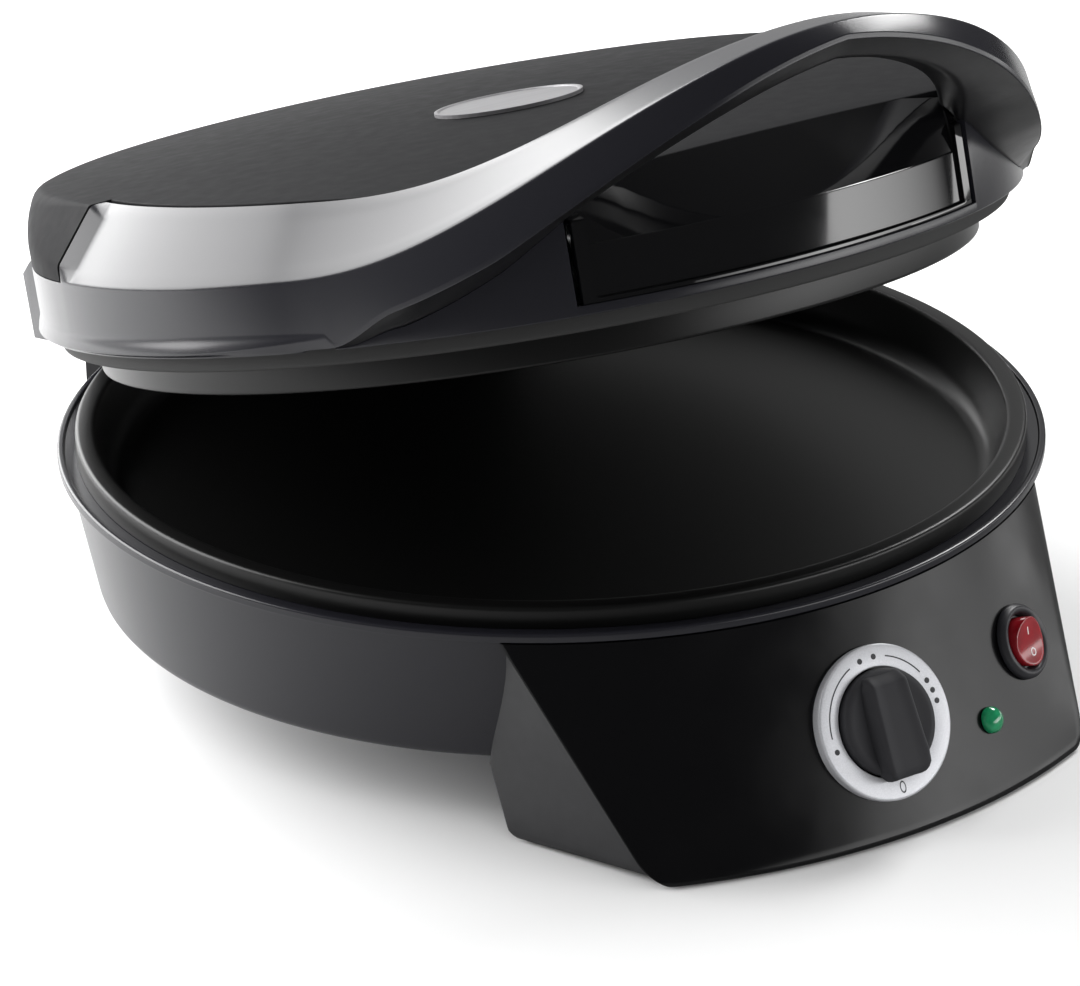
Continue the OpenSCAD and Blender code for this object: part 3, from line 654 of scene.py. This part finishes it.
class PIZZA_OT_bowl(Operator):
    """Makes the bowl-shaped base with the flange round its top"""

    bl_idname = "pizza_maker.bowl"
    bl_label = "Bowl"

    def execute(self, context):
        corners = [
            (BOWL_TOP_R, FLANGE_Z, 0.8), (FLANGE_R, FLANGE_Z, 0.6), (FLANGE_R, FLANGE_Z + LIP_H, 1.0),
            (FLANGE_R - 2.3, FLANGE_Z + LIP_H, 0.5), (FLANGE_R - 2.5, SEAT_Z, 0.3),
            (PAN_IN_R + 2.2, SEAT_Z, 0.3), (PAN_IN_R + 2.2, SEAT_Z - BOWL_T, 0.3),
            (BOWL_TOP_R - BOWL_T, SEAT_Z - BOWL_T, 0.3), (BOWL_LOW_R - BOWL_T, BOWL_Z + BOWL_T, 0.5),
            (BOWL_OPEN_R, BOWL_Z + BOWL_T, 0.3), (BOWL_OPEN_R, BOWL_Z, 0.3),
            (BOWL_LOW_R - 0.4, BOWL_Z, 3.4),
        ]
        bm = revolve(rounded(corners, 4), 240)
        make_piece("bowl", bm, "base", gloss_black(), replaces=["base_housing"])
        return {"FINISHED"}


class PIZZA_OT_pedestal(Operator):
    """Makes the pedestal under the front of the bowl and the glossy control panel on it"""

    bl_idname = "pizza_maker.pedestal"
    bl_label = "Pedestal"

    low_rows = (4.5, 5.5, 6.5, 7.5, 9.0)

    def execute(self, context):
        self.make_panel()
        self.make_body()
        return {"FINISHED"}

    def make_panel(self):
        """The panel rolls in along its lower edge, and its side edges turn back."""
        rows = [(0.6, 2.0), (0.75, 1.3), (1.2, 0.6), (1.9, 0.2), (3.0, 0.0)]
        rows += [(z, 0.0) for z in (*self.low_rows, *steps(13, 70.7, 5))]
        front = steps(-0.985, 0.985, 0.04)
        # shares of the half width and insets of the turned-back side edge, from the back to the face
        turned = ((0.998, 0.9), (1.0, 0.45), (0.995, 0.12))
        sections = []
        for z, inset in rows:
            s = z / FLANGE_Z
            left = [panel_arc(s, inset + d, [-t])[0] for t, d in turned]
            right = [panel_arc(s, inset + d, [t])[0] for t, d in reversed(turned)]
            inner = panel_arc(s, PANEL_T + inset * 0.3, front[::-1])
            sections.append(left + panel_arc(s, inset, front) + right + inner)
        make_piece("control_panel_skin", loft(sections), "base", panel_gloss(),
                   replaces=["control_panel"])

    def make_body(self):
        """The pedestal's body behind the panel, with raked sides."""
        rows = [(1.2, 5.0), (1.5, 4.0), (2.4, 3.0), (3.4, 2.4)]
        rows += [(z, 2.3) for z in (*self.low_rows, *steps(13, 70.6, 5))]
        sections = []
        for z, inset in rows:
            s = z / FLANGE_Z
            front = panel_arc(s, inset, steps(0, 0.985, 0.06))
            up = min(1.0, 3 * s)
            back = Vector((mix(108, 107, up) - inset, mix(-130, -116, up) - 0.7 * inset))
            edge = front[-1].xy
            # above the bowl's floor the back stops inside the bowl's own wall
            wall = max(back.length, mix(157.8, 163.5, (z - BOWL_Z) / (FLANGE_Z - BOWL_Z)))
            back = edge.lerp(back, min(1.0, (edge.length - wall) / (edge.length - back.length)))
            half = [(p.x, p.y, 0.0) for p in front[1:-1]] + [(*edge, 1.2), (*back, 2.0)]
            turn = degrees(atan2(back.x, -back.y))
            half += [(*polar(back.length, turn * k / 10, 0).xy, 0.0) for k in range(9, 0, -1)]
            mirrored = [(-x, y, r) for x, y, r in reversed(half)]
            outline = rounded(half + mirrored + [(0.0, front[0].y, 0.0)], 4)
            sections.append([Vector((x, y, z)) for x, y in outline])
        make_piece("pedestal", loft(sections), "base", pedestal_black(),
                   replaces=["front_pedestal"])


class PIZZA_OT_dial(Operator):
    """Makes the silver dial ring and its printed marks"""

    bl_idname = "pizza_maker.dial"
    bl_label = "Dial"

    def execute(self, context):
        corners = [
            (KNOB_R + 0.5, -1.4, 0.1), (DIAL_R, -1.4, 0.1), (DIAL_R, DIAL_H, 0.9),
            (KNOB_R + 0.6, DIAL_H, 0.7), (KNOB_R + 0.5, 1.5, 0.1),
        ]
        place = on_panel(DIAL)
        bm = revolve(rounded(corners, 4), 120)
        make_piece("dial_ring_face", bm, "base", silver_paint(), place, ["dial_ring"])
        ink = mark_ink("dial_ink", (0.02, 0.02, 0.025))
        for index, (bm, angle) in enumerate(self.marks()):
            turn = Matrix.Rotation(radians(angle), 4, "Z")
            make_piece(f"dial_mark_{index}", bm, "base", ink, place @ turn)
        return {"FINISHED"}

    def marks(self):
        """Zero at six o'clock, then one, two and three dots clockwise, with arcs between."""
        found = [(self.zero(), 0)]
        for angle in (-78, -170, -185, -246, -256, -266):
            found.append((self.dot(), angle))
        for first, last in ((-90, -158), (-197, -236)):
            found.append((self.arc(first, last), 0))
        return found

    def dot(self):
        bm = rod(0.95, MARK_FOOT, MARK_FOOT + 0.1, 24)
        bmesh.ops.translate(bm, vec=(0, -21.2, 0), verts=bm.verts)
        return bm

    def arc(self, first, last):
        bm = bmesh.new()
        top = MARK_FOOT + 0.09
        corners = [(21.0, MARK_FOOT), (21.45, MARK_FOOT), (21.45, top), (21.0, top)]
        verts = [bm.verts.new((r * sin(radians(first)), -r * cos(radians(first)), z)) for r, z in corners]
        face = bm.faces.new(verts)
        bmesh.ops.spin(
            bm, geom=[face], cent=(0, 0, 0), axis=(0, 0, 1), angle=radians(last - first), steps=24,
        )
        return bm

    def zero(self):
        top = MARK_FOOT + 0.1
        bm = revolve([(1.0, MARK_FOOT), (1.35, MARK_FOOT), (1.35, top), (1.0, top)], 32)
        bmesh.ops.scale(bm, vec=(0.85, 1.5, 1), verts=bm.verts)
        bmesh.ops.translate(bm, vec=(0, -21.4, 0), verts=bm.verts)
        return bm


class PIZZA_OT_knob(Operator):
    """Makes the knob: a round body with a broad bar across it that ends in a pointer"""

    bl_idname = "pizza_maker.knob"
    bl_label = "Knob"

    # place along the bar, height, half width at the foot, half width at the top
    grip_rows = (
        (15.6, 6.2, 6.6, 5.6), (14.9, 7.9, 7.4, 5.9), (12.6, 10.3, 9.2, 6.2), (11.4, 10.6, 9.4, 6.3),
        (6.0, 10.7, 9.9, 6.5), (0.0, 10.9, 10.2, 6.7), (-6.0, 11.0, 10.0, 7.0), (-11.5, 11.2, 9.6, 7.3),
        (-15.4, 11.0, 8.2, 7.0), (-17.0, 10.2, 6.9, 6.3), (-18.0, 9.0, 6.0, 5.6), (-18.4, 7.4, 5.5, 5.2),
    )

    def execute(self, context):
        place = on_panel(DIAL)
        body = revolve(rounded([
            (0.0, 1.2, 0.0), (KNOB_R, 1.2, 0.3), (KNOB_R, 5.2, 1.4), (KNOB_R - 1.8, 6.2, 1.2),
            (KNOB_R - 6.0, 5.5, 2.0), (0.0, 5.5, 0.0)], 4), 96, closed=False)
        make_piece("knob_body", body, "knob", knob_black(), place)
        make_piece("knob_grip", self.grip(), "knob", knob_black(), place, ["knob"])
        return {"FINISHED"}

    def grip(self):
        """Lofts the bar, whose top is hollowed between two ridges."""
        sections = []
        for y, top, foot, edge in self.grip_rows:
            outline = rounded([
                (-foot, 3.0, 0.1), (foot, 3.0, 0.1), (edge + 1.0, top - 0.9, 1.0), (edge, top, 0.7),
                (edge * 0.55, top - 0.7, 2.5), (-edge * 0.55, top - 0.7, 2.5), (-edge, top, 0.7),
                (-edge - 1.0, top - 0.9, 1.0)], 4)
            sections.append([Vector((x, y, z)) for x, z in outline])
        return loft(sections)


class PIZZA_OT_switch(Operator):
    """Makes the round rocker switch with its bezel and its marks"""

    bl_idname = "pizza_maker.switch"
    bl_label = "Switch"

    rocker_r = 8.15
    face_z = 4.0
    hollow_depth = 1.3
    tilt = radians(8)

    def execute(self, context):
        place = on_panel(ROCKER)
        bezel = revolve(rounded([
            (8.95, -8.0, 0.1), (10.3, -8.0, 0.1), (10.3, 0.1, 0.1), (12.6, 0.1, 0.2), (12.6, 1.6, 1.2),
            (11.4, 3.3, 1.4), (9.7, 2.9, 1.0), (8.95, 1.2, 0.4)], 4), 96)
        make_piece("switch_bezel", bezel, "base", switch_black(), place, ["switch_housing"])
        tilted = place @ Matrix.Rotation(self.tilt, 4, "X")
        lens = self.lens()
        make_piece("rocker_lens", lens, "rocker", red_lens(), tilted, ["switch_rocker"])
        ink = mark_ink("switch_ink", (0.8, 0.78, 0.78))
        for name, bm in (("rocker_mark_on", self.bar()), ("rocker_mark_off", self.ring())):
            make_piece(name, bm, "rocker", ink, tilted)
        return {"FINISHED"}

    def hollow(self, y):
        """Height of the rocker's hollow face above its middle."""
        return self.hollow_depth * (y / self.rocker_r) ** 2

    def lens(self):
        """A round plug whose face is hollowed from end to end."""
        r = self.rocker_r
        profile = [(0, -4), (r - 0.4, -4), (r, -3.6), (r, 3.6), (r - 0.12, 3.85), (r - 0.4, self.face_z)]
        profile += [(q, self.face_z) for q in (7.0, 6.0, 5.0, 4.0, 3.0, 2.0, 1.0, 0.0)]
        bm = revolve(profile, 72, closed=False)
        for vert in bm.verts:
            if vert.co.z > 3.5:
                vert.co.z += self.hollow(vert.co.y)
        return bm

    def on_face(self, bm, y):
        """Lays a mark on the face at a height along it."""
        slope = Matrix.Rotation(2 * self.hollow_depth * y / self.rocker_r**2, 4, "X")
        spot = Matrix.Translation((0, y, self.face_z + self.hollow(y)))
        bmesh.ops.transform(bm, matrix=spot @ slope, verts=bm.verts)
        return bm

    def bar(self):
        bm = bmesh.new()
        bmesh.ops.create_cube(bm, size=1, matrix=Matrix.Diagonal((0.45, 2.6, 0.12, 1)))
        return self.on_face(bm, 3.7)

    def ring(self):
        return self.on_face(revolve([(1.0, -0.03), (1.38, -0.03), (1.38, 0.07), (1.0, 0.07)], 40), -3.7)


class PIZZA_OT_lamp(Operator):
    """Makes the green pilot lamp"""

    bl_idname = "pizza_maker.lamp"
    bl_label = "Lamp"

    def execute(self, context):
        dome = [(4.4 * cos(radians(a)), 0.8 + 3.2 * sin(radians(a))) for a in range(0, 90, 9)]
        profile = [(0, -3), (3.4, -3), (3.4, 0.3), (4.4, 0.3)] + dome + [(0, 4.0)]
        bm = revolve(profile, 64, closed=False)
        make_piece("lamp_dome", bm, "base", green_lens(), on_panel(LAMP), ["pilot_lens"])
        return {"FINISHED"}


class PIZZA_OT_plates(Operator):
    """Makes the pan, the upper plate and the heat-resistant ring round it"""

    bl_idname = "pizza_maker.plates"
    bl_label = "Plates"

    def execute(self, context):
        floor = PAN_FLOOR_Z
        pan = [
            (0, floor, 0), (PAN_IN_R - 7.0, floor, 5.0), (PAN_IN_R - 3.4, floor + 4.6, 3.0),
            (PAN_IN_R + 0.1, RIM_Z, 1.6), (PAN_R, RIM_Z, 1.5), (PAN_R, SEAT_Z + 0.02, 0.2),
            (PAN_IN_R + 1.6, SEAT_Z + 0.02, 0.2), (PAN_IN_R - 1.6, floor + 2, 1.0),
            (PAN_IN_R - 6.4, floor - PAN_T, 2.0), (126, floor - PAN_T, 0.2), (126, floor - PAN_T - 1, 0.2),
            (104, floor - PAN_T - 1, 0.2), (104, floor - PAN_T, 0.2), (0, floor - PAN_T, 0),
        ]
        bm = revolve(rounded(pan, 4), 240, closed=False)
        make_piece("pan", bm, "base", coated_plate(), replaces=["lower_plate"])
        carrier = [
            (146.4, -0.02, 0.1), (146.4, UPPER_TOP, 0.1), (UPPER_R + 0.2, UPPER_TOP, 0.1),
            (UPPER_R + 0.2, CARRIER_LOW, 0.3), (CARRIER_R, CARRIER_LOW, 1.6), (CARRIER_R, -0.02, 0.3),
        ]
        bm = revolve(rounded(carrier, 4), 240)
        make_piece("carrier_ring", bm, "lid", carrier_black(), LID, ["plate_carrier"])
        face = UPPER_LOW + 6.2
        plate = [
            (0, face, 0), (139, face, 4.0), (147.0, UPPER_LOW + 1.2, 2.0), (148.4, UPPER_LOW, 0.8),
            (UPPER_R, UPPER_LOW, 1.2), (UPPER_R, UPPER_TOP - 0.02, 0.3), (146, UPPER_TOP - 0.02, 0.3),
            (142, UPPER_LOW + 9.8, 0.5), (0, UPPER_LOW + 9.8, 0),
        ]
        bm = revolve(rounded(plate, 4), 240, closed=False)
        make_piece("upper_hot_plate", bm, "lid", coated_plate(), LID, ["upper_plate"])
        return {"FINISHED"}


def in_plane(a, outline):
    return [polar(r, a, w) for r, w in outline]


def bead(a):
    """How far the bead low on the band's side has grown: 0 at its pointed tip, 1 along the sides."""
    return sqrt(ease((abs(a) - TIP) / 22)) * (1 - ease((abs(a) - 124) / 6))


def shoulder(a, share=0.0):
    """The two corners of the cover's shoulder, upright where share is 1; the band's strip rises to it."""
    r = mix(SHOULDER_R, 166.6, share)
    top = sheet_at(r, a)
    return (r, top), (LID_R - 0.05, mix(CREASE_W + SHOULDER_UP, top - 7, share))


def band_outline(a):
    """Section of the gloss band: solid along the handle, and a thin shell round the lid's sides."""
    crease, low, inner, back = crease_at(a), low_at(a), inner_at(a), back_at(a)
    thin = ease((abs(a) - TIP) / 4)
    plain = max(0.0, min(1.0, (abs(a) - REAR_START) / 0.5))
    strip = max(0.0, min(1.0, (abs(a) - STRIP_START) / (REAR_START - STRIP_START))) * (1 - plain)
    inner = mix2(inner, (LID_R - 1.6, CREASE_W + 0.3), plain)
    back = mix2(back, (LID_R - BAND_IN, CREASE_W - 2.6), plain)
    parting = [mix2(low, back, t) for t in (0.65, 0.3, 0.1)]
    shell = [(LID_R - BAND_IN, CREASE_W - 3.4), (LID_R - BAND_IN, 0.0), (LID_R - 0.5, 0.0)]
    inside = [mix2(p, q, thin) for p, q in zip(parting, shell)]
    top, side = shoulder(a)
    side = mix2(mix2(crease, inner, 0.2), side, strip)
    top = mix2(mix2(inner, crease, 0.2), top, strip)
    grown, proud = bead(a), 1.5 * bead(a)
    edge = mix(0.25, 0.14, strip)
    # heights of the bead's three corners where it has not grown yet
    point = (4.4, 5.0, 5.6) if abs(a) > TIP else (low[1] + 0.9, low[1] + 1.4, low[1] + 1.9)
    blade = [
        (low[0] + share * proud, mix(start, height, grown), soft)
        for share, start, height, soft in zip((1, 0.7, 0.04), point, (1.3, 3.6, 6.3), (0.5, 0.9, 1.2))
    ]
    corners = [
        (*low, 0.5), *blade, (*crease, mix(0.9, 0.5, strip)), (*side, 1.2), (*top, 1.2), (*inner, edge),
        (*back, 0.2),
    ]
    return rounded(corners + [(*p, 0.0) for p in inside], 3)


class PIZZA_OT_band(Operator):
    """Makes the gloss band that rings the lid and arches forward into the handle"""

    bl_idname = "pizza_maker.band"
    bl_label = "Band"

    def execute(self, context):
        side = steps(-STRIP_START, STRIP_START, 1.0)
        strip = [STRIP_START + 0.25, STRIP_START + 1.1, REAR_START - 0.25, REAR_START]
        rear = [a - 360 if a > 180 else a for a in steps(REAR_START + 0.5, 359.5 - REAR_START, 3.0)]
        angles = side + strip + rear + [-a for a in reversed(strip)]
        bm = loft([in_plane(a, band_outline(a)) for a in angles], around=True)
        make_piece("band", bm, "lid", gloss_black(), LID, ["lid_frame"], soft_angle=24)
        return {"FINISHED"}


class PIZZA_OT_handle(Operator):
    """Makes the moulding that closes the handle from below"""

    bl_idname = "pizza_maker.handle"
    bl_label = "Handle underside"

    def execute(self, context):
        sections = []
        for a in steps(-TIP, TIP, 1.0):
            parting = [mix2(low_at(a), back_at(a), t) for t in (0.012, 0.3, 0.65, 0.99)]
            soft = 2.2 * ease((TIP - abs(a)) / 14)
            corners = [(*under_at(a), soft)] + [(*p, 0.1) for p in parting] + [(*heel_at(a), soft)]
            sections.append(in_plane(a, rounded(corners, 4)))
        bm = loft(sections)
        make_piece("handle_lower_half", bm, "lid", handle_grain(), LID, ["handle_underside"])
        return {"FINISHED"}


class PIZZA_OT_front(Operator):
    """Makes the lid's front: the wall under the handle's roots and the faceted insert between them"""

    bl_idname = "pizza_maker.front"
    bl_label = "Lid front"

    def execute(self, context):
        self.make_skirt()
        self.make_insert()
        return {"FINISHED"}

    def make_skirt(self):
        sill = WING - 0.05
        angles = steps(-TIP, -WING, 1.0) + steps(-sill, sill, 1.0) + steps(WING, TIP, 1.0)
        sections = []
        for a in angles:
            top = SILL if abs(a) < WING else max(0.4, under_at(a)[1] + 0.2)
            sections.append(in_plane(a, rounded([
                (LID_R - BAND_IN, 0, 0.1), (LID_R, 0, min(0.5, top / 3)), (LID_R - 0.02, top, 0.3),
                (LID_R - BAND_IN, top, 0.1)], 3)))
        make_piece("front_wall", loft(sections), "lid", gloss_black(), LID, ["front_skirt"])

    def make_insert(self):
        """Lofts across the width: a framed face, the slope to the top sheet, and a cheek at each end."""
        half = [*range(3, 58, 6), 61, 65, 68, 70, 71, CHEEK_X, CHEEK_X + 0.5, 73, 74.5, INSERT_X]
        back = INSERT_TOP_Y - 0.15
        sections = []
        for x in [-x for x in reversed(half)] + half:
            wall, inside = (-sqrt(r * r - x * x) for r in (LID_R - 0.6, LID_R - BAND_IN - 0.25))
            fold = max(0.0, min(1.0, (abs(x) - 57) / (INSERT_X - 57)))
            cheek = max(0.0, min(1.0, (abs(x) - CHEEK_X) / 0.5))
            face = wall + 1.2 * (1 - cheek)
            top = mix(sheet(x, INSERT_TOP_Y), 38.6, fold)
            sections.append([Vector((x, y, w)) for y, w in rounded([
                (wall, SILL + 0.1, 0.2), (wall, SILL + 1.5, 0.3), (face, SILL + 1.9, 0.3),
                (face, mix(INSERT_CREASE - 0.2, 29.6, cheek), 0.6),
                (mix(face + 0.4, inside, cheek), mix(INSERT_CREASE, 30.8, cheek), 0.6),
                (INSERT_TOP_Y - mix(0.4, 0.95, fold), top - 0.1, 0.5),
                (back, top - 0.5, 0.1), (back, mix(40, 35.6, fold), 0.1),
                (min(face + 3.4, back - 0.1), INSERT_CREASE - 1.5, 0.1),
                (min(face + 2.8, back - 0.3), SILL + 0.1, 0.1)], 3)])
        make_piece("lid_front_insert", loft(sections), "lid", insert_gloss(), LID,
                   ["front_insert"], soft_angle=24)


def cover_outline(a):
    """Section of the top cover from its middle out to its edge and back below the sheet."""
    if abs(a) < REAR_START + 0.65:
        straight = -INSERT_TOP_Y / cos(radians(min(abs(a), HANDLE_ANGLE)))
        r = min(straight, back_at(min(abs(a), REAR_START))[0] - 0.1)
        near, rim = sheet_at(r - 6, a), sheet_at(r, a)
        edge = [
            (r, rim, 0.7), (r, near - 3, 0.2), (r, near - 4, 0.1), (r - 2.5, near - 4, 0.1),
            (r - 2.5, near - 3.9, 0.1), (r - 5.5, rim - 4.5, 0.2),
        ]
    else:
        k = ease((abs(a) - REAR_START) / 34)
        (r, rim), (out, high) = shoulder(a, k)
        foot = CREASE_W + 0.35
        edge = [
            (r, rim, mix(1.0, 8.0, k)), (out, high, mix(1.6, 14.0, k)), (out, foot, 0.1),
            (out - COVER_T, foot, 0.1), (out - COVER_T - mix(1.5, 0, k), high, 2.0),
            (r - 5.5, rim - mix(3.5, 6.5, k), 0.2),
        ]
    top = [(q, sheet_at(q, a)) for q in (0, 20, 40, 60, 80, 100, 115, 125)]
    lip = [(r - 16, sheet_at(r - 16, a), 0), (r - 9, sheet_at(r - 9, a), 0)]
    below = [(q, sheet_at(q, a) - COVER_T) for q in (120, 60, 0)]
    # the first and last corners only steer the curve, so their seven points each are cut off
    return top + rounded(lip + edge + [(r - 20, sheet_at(r - 20, a) - COVER_T, 0)], 6)[7:-7] + below


class PIZZA_OT_cover(Operator):
    """Makes the crowned top cover with its rounded rear wall"""

    bl_idname = "pizza_maker.cover"
    bl_label = "Top cover"

    def execute(self, context):
        step = [REAR_START + 0.6, REAR_START + 0.7]
        half = steps(0, REAR_START, 1.0) + step + steps(REAR_START + 3, 180, 2.0)
        angles = half + [-a for a in reversed(half[1:-1])]
        bm = loft([in_plane(a, cover_outline(a)) for a in angles], around=True)
        bmesh.ops.dissolve_degenerate(bm, edges=bm.edges, dist=1e-3)
        make_piece("top_cover", bm, "lid", satin_black(), LID, ["lid_cover"], soft_angle=24)
        return {"FINISHED"}


class PIZZA_OT_badge(Operator):
    """Makes the plain oval badge on the top cover"""

    bl_idname = "pizza_maker.badge"
    bl_label = "Badge"

    half_x = 27.2
    half_y = 21.0

    def execute(self, context):
        corners = [(1.0, 0.0, 0.0), (1.0, 1.3, 0.02), (0.965, 1.35, 0.01), (0.93, 0.9, 0.01)]
        bm = revolve([(0.0, 0.0)] + rounded(corners, 3) + [(0.0, 0.9)], 96, closed=False)
        bmesh.ops.scale(bm, vec=(self.half_x, self.half_y, 1), verts=bm.verts)
        slope = atan2(2 * SHEET_KY * SHEET_Y, 1)
        place = LID @ Matrix.Translation((0, 0, sheet(0, 0) - 0.05)) @ Matrix.Rotation(slope, 4, "X")
        make_piece("oval_badge", bm, "lid", brushed_silver(), place, ["lid_badge"])
        return {"FINISHED"}


class PIZZA_OT_rear(Operator):
    """Makes the hinge hood and the rear housing with eased edges"""

    bl_idname = "pizza_maker.rear"
    bl_label = "Rear"

    def execute(self, context):
        hood = refined("hinge_hood", 1.2)
        cap = make_piece("hinge_cap", hood, "lid", gloss_black(), replaces=["hinge_hood"])
        housing = refined("rear_housing", 0.8)
        tower = make_piece("rear_tower", housing, "base", satin_black(),
                           replaces=["rear_housing"])
        for piece in (cap, tower):
            piece.modifiers.new("flat_faces", "WEIGHTED_NORMAL").keep_sharp = True
        return {"FINISHED"}


class PIZZA_OT_cad_finishes(Operator):
    """Gives every node of the frame its finish"""

    bl_idname = "pizza_maker.cad_finishes"
    bl_label = "Frame finishes"

    def execute(self, context):
        for name, node in frame["nodes"].items():
            material = CAD_FINISHES[name]()
            if not node.data.materials:
                node.data.materials.append(material)
            for slot in node.material_slots:
                slot.material = material
        return {"FINISHED"}


def fade_along(tree, direction, start, end, least):
    """A value that grows from least to 1 along a direction in Object coordinates."""
    across = tree.nodes.new("ShaderNodeVectorMath")
    across.operation = "DOT_PRODUCT"
    across.inputs[1].default_value = direction
    tree.links.new(tree.nodes.new("ShaderNodeTexCoord").outputs["Object"], across.inputs[0])
    fade = tree.nodes.new("ShaderNodeMapRange")
    fade.inputs["From Min"].default_value = start
    fade.inputs["From Max"].default_value = end
    fade.inputs["To Min"].default_value = least
    tree.links.new(across.outputs["Value"], fade.inputs["Value"])
    return fade.outputs["Result"]


def choose(tree, switch, plain, value):
    """Gives the value where the switch is 1, and the plain socket elsewhere."""
    node = tree.nodes.new("ShaderNodeMix")
    tree.links.new(switch, node.inputs["Factor"])
    tree.links.new(plain, node.inputs["A"])
    node.inputs["B"].default_value = value
    return node.outputs["Result"]


class PIZZA_OT_stage(Operator):
    """Makes the floor, the soft lamps, the world and the camera"""

    bl_idname = "pizza_maker.stage"
    bl_label = "Stage"

    def execute(self, context):
        sizes = context.scene.pizza_maker
        self.make_camera(context, sizes)
        self.make_floor(context, sizes)
        for row in SOFTBOXES:
            self.softbox(context, *row)
        self.make_world(context)
        context.scene.view_settings.view_transform = "Standard"
        return {"FINISHED"}

    def make_camera(self, context, sizes):
        az, el = sizes.camera_azimuth, sizes.camera_elevation
        back = Vector((sin(az) * cos(el), -cos(az) * cos(el), sin(el)))
        right = Vector((cos(az), sin(az), 0))
        up = back.cross(right)
        rolled_right = right * cos(CAMERA_ROLL) + up * sin(CAMERA_ROLL)
        rolled_up = up * cos(CAMERA_ROLL) - right * sin(CAMERA_ROLL)
        turn = Matrix((rolled_right, rolled_up, back)).transposed().to_4x4()
        target = Vector((0, 0, FLANGE_Z * MM))
        data = bpy.data.cameras.new("camera")
        data.sensor_width = SENSOR_W
        data.lens = CAMERA_LENS
        data.shift_x, data.shift_y = CAMERA_SHIFT
        data.clip_start = 0.1
        data.clip_end = 20
        camera = bpy.data.objects.new("camera", data)
        camera.matrix_world = Matrix.Translation(target + back * sizes.camera_distance) @ turn
        context.scene.collection.objects.link(camera)
        context.scene.camera = camera

    def make_floor(self, context, sizes):
        """A pale floor; reflections show it fading towards the dark side of the studio, a painted shade in
        its colour that only glossy rays see.
        """
        bm = bmesh.new()
        bmesh.ops.create_circle(bm, cap_ends=True, segments=96, radius=FLOOR_R)
        mesh = bpy.data.meshes.new("floor")
        bm.to_mesh(mesh)
        bm.free()
        colour = sizes.floor_colour
        material, shader = new_material("floor_white", colour, 0.6)
        nodes, links = material.node_tree.nodes, material.node_tree.links
        tint(material, shader, noise_on(material, 3), tuple(c * 0.99 for c in colour), colour)
        # painted shade: glossy rays see the floor's colour darkened towards the front, standing for the
        # dark side of the studio
        seen = nodes.new("ShaderNodeMix")
        seen.data_type = "RGBA"
        links.new(nodes.new("ShaderNodeLightPath").outputs["Is Glossy Ray"], seen.inputs["Factor"])
        links.new(shader.inputs["Base Color"].links[0].from_socket, seen.inputs["A"])
        links.new(fade_along(material.node_tree, (-0.5, 0.87, 0), -0.33, 0.4, 0.13), seen.inputs["B"])
        links.new(seen.outputs["Result"], shader.inputs["Base Color"])
        mesh.materials.append(material)
        floor = bpy.data.objects.new("floor", mesh)
        context.scene.collection.objects.link(floor)

    def softbox(self, context, name, azimuth, elevation, distance, size, brightness, spread):
        """An area lamp aimed at the object and unseen by the camera."""
        data = bpy.data.lights.new(name, "AREA")
        data.shape = "RECTANGLE"
        data.size, data.size_y = size
        data.energy = brightness * pi * size[0] * size[1]
        data.spread = radians(spread)
        lamp = bpy.data.objects.new(name, data)
        az, el = radians(azimuth), radians(elevation)
        away = Vector((sin(az) * cos(el), -cos(az) * cos(el), sin(el)))
        turn = away.to_track_quat("Z", "Y").to_matrix().to_4x4()
        lamp.matrix_world = Matrix.Translation(LAMP_TARGET + away * distance) @ turn
        lamp.visible_camera = False
        context.scene.collection.objects.link(lamp)

    def make_world(self, context):
        """White to the camera, even and soft on the object, and dark in front in reflections."""
        world = bpy.data.worlds.new("studio")
        world.use_nodes = True
        tree = world.node_tree
        path = tree.nodes.new("ShaderNodeLightPath")
        shown = fade_along(tree, (-0.3, 0.95, 0), 0.35, 0.8, 0.06)
        shown = choose(tree, path.outputs["Is Diffuse Ray"], shown, 0.6)
        shown = choose(tree, path.outputs["Is Camera Ray"], shown, 1.0)
        background = tree.nodes["Background"]
        tree.links.new(shown, background.inputs["Strength"])
        background.inputs["Color"].default_value = (1, 1, 1, 1)
        context.scene.world = world


OPERATORS = (
    PIZZA_OT_cad_finishes,
    PIZZA_OT_bowl,
    PIZZA_OT_pedestal,
    PIZZA_OT_dial,
    PIZZA_OT_knob,
    PIZZA_OT_switch,
    PIZZA_OT_lamp,
    PIZZA_OT_plates,
    PIZZA_OT_band,
    PIZZA_OT_handle,
    PIZZA_OT_front,
    PIZZA_OT_cover,
    PIZZA_OT_badge,
    PIZZA_OT_rear,
    PIZZA_OT_stage,
)


class PIZZA_PT_panel(Panel):
    """Lists the pieces of the pizza maker in the sidebar"""

    bl_idname = "PIZZA_PT_panel"
    bl_label = "Pizza Maker"
    bl_space_type = "VIEW_3D"
    bl_region_type = "UI"
    bl_category = "Pizza Maker"

    def draw(self, context):
        for name in PizzaMakerSizes.__annotations__:
            self.layout.prop(context.scene.pizza_maker, name)
        for operator in OPERATORS:
            self.layout.operator(operator.bl_idname)


def register():
    for made in (PizzaMakerSizes, *OPERATORS, PIZZA_PT_panel):
        bpy.utils.register_class(made)
    bpy.types.Scene.pizza_maker = PointerProperty(type=PizzaMakerSizes)


def unregister():
    del bpy.types.Scene.pizza_maker
    for made in reversed((PizzaMakerSizes, *OPERATORS, PIZZA_PT_panel)):
        bpy.utils.unregister_class(made)


def main():
    register()
    for operator in OPERATORS:
        group, name = operator.bl_idname.split(".")
        getattr(getattr(bpy.ops, group), name)()


if __name__ == "__main__":
    main()
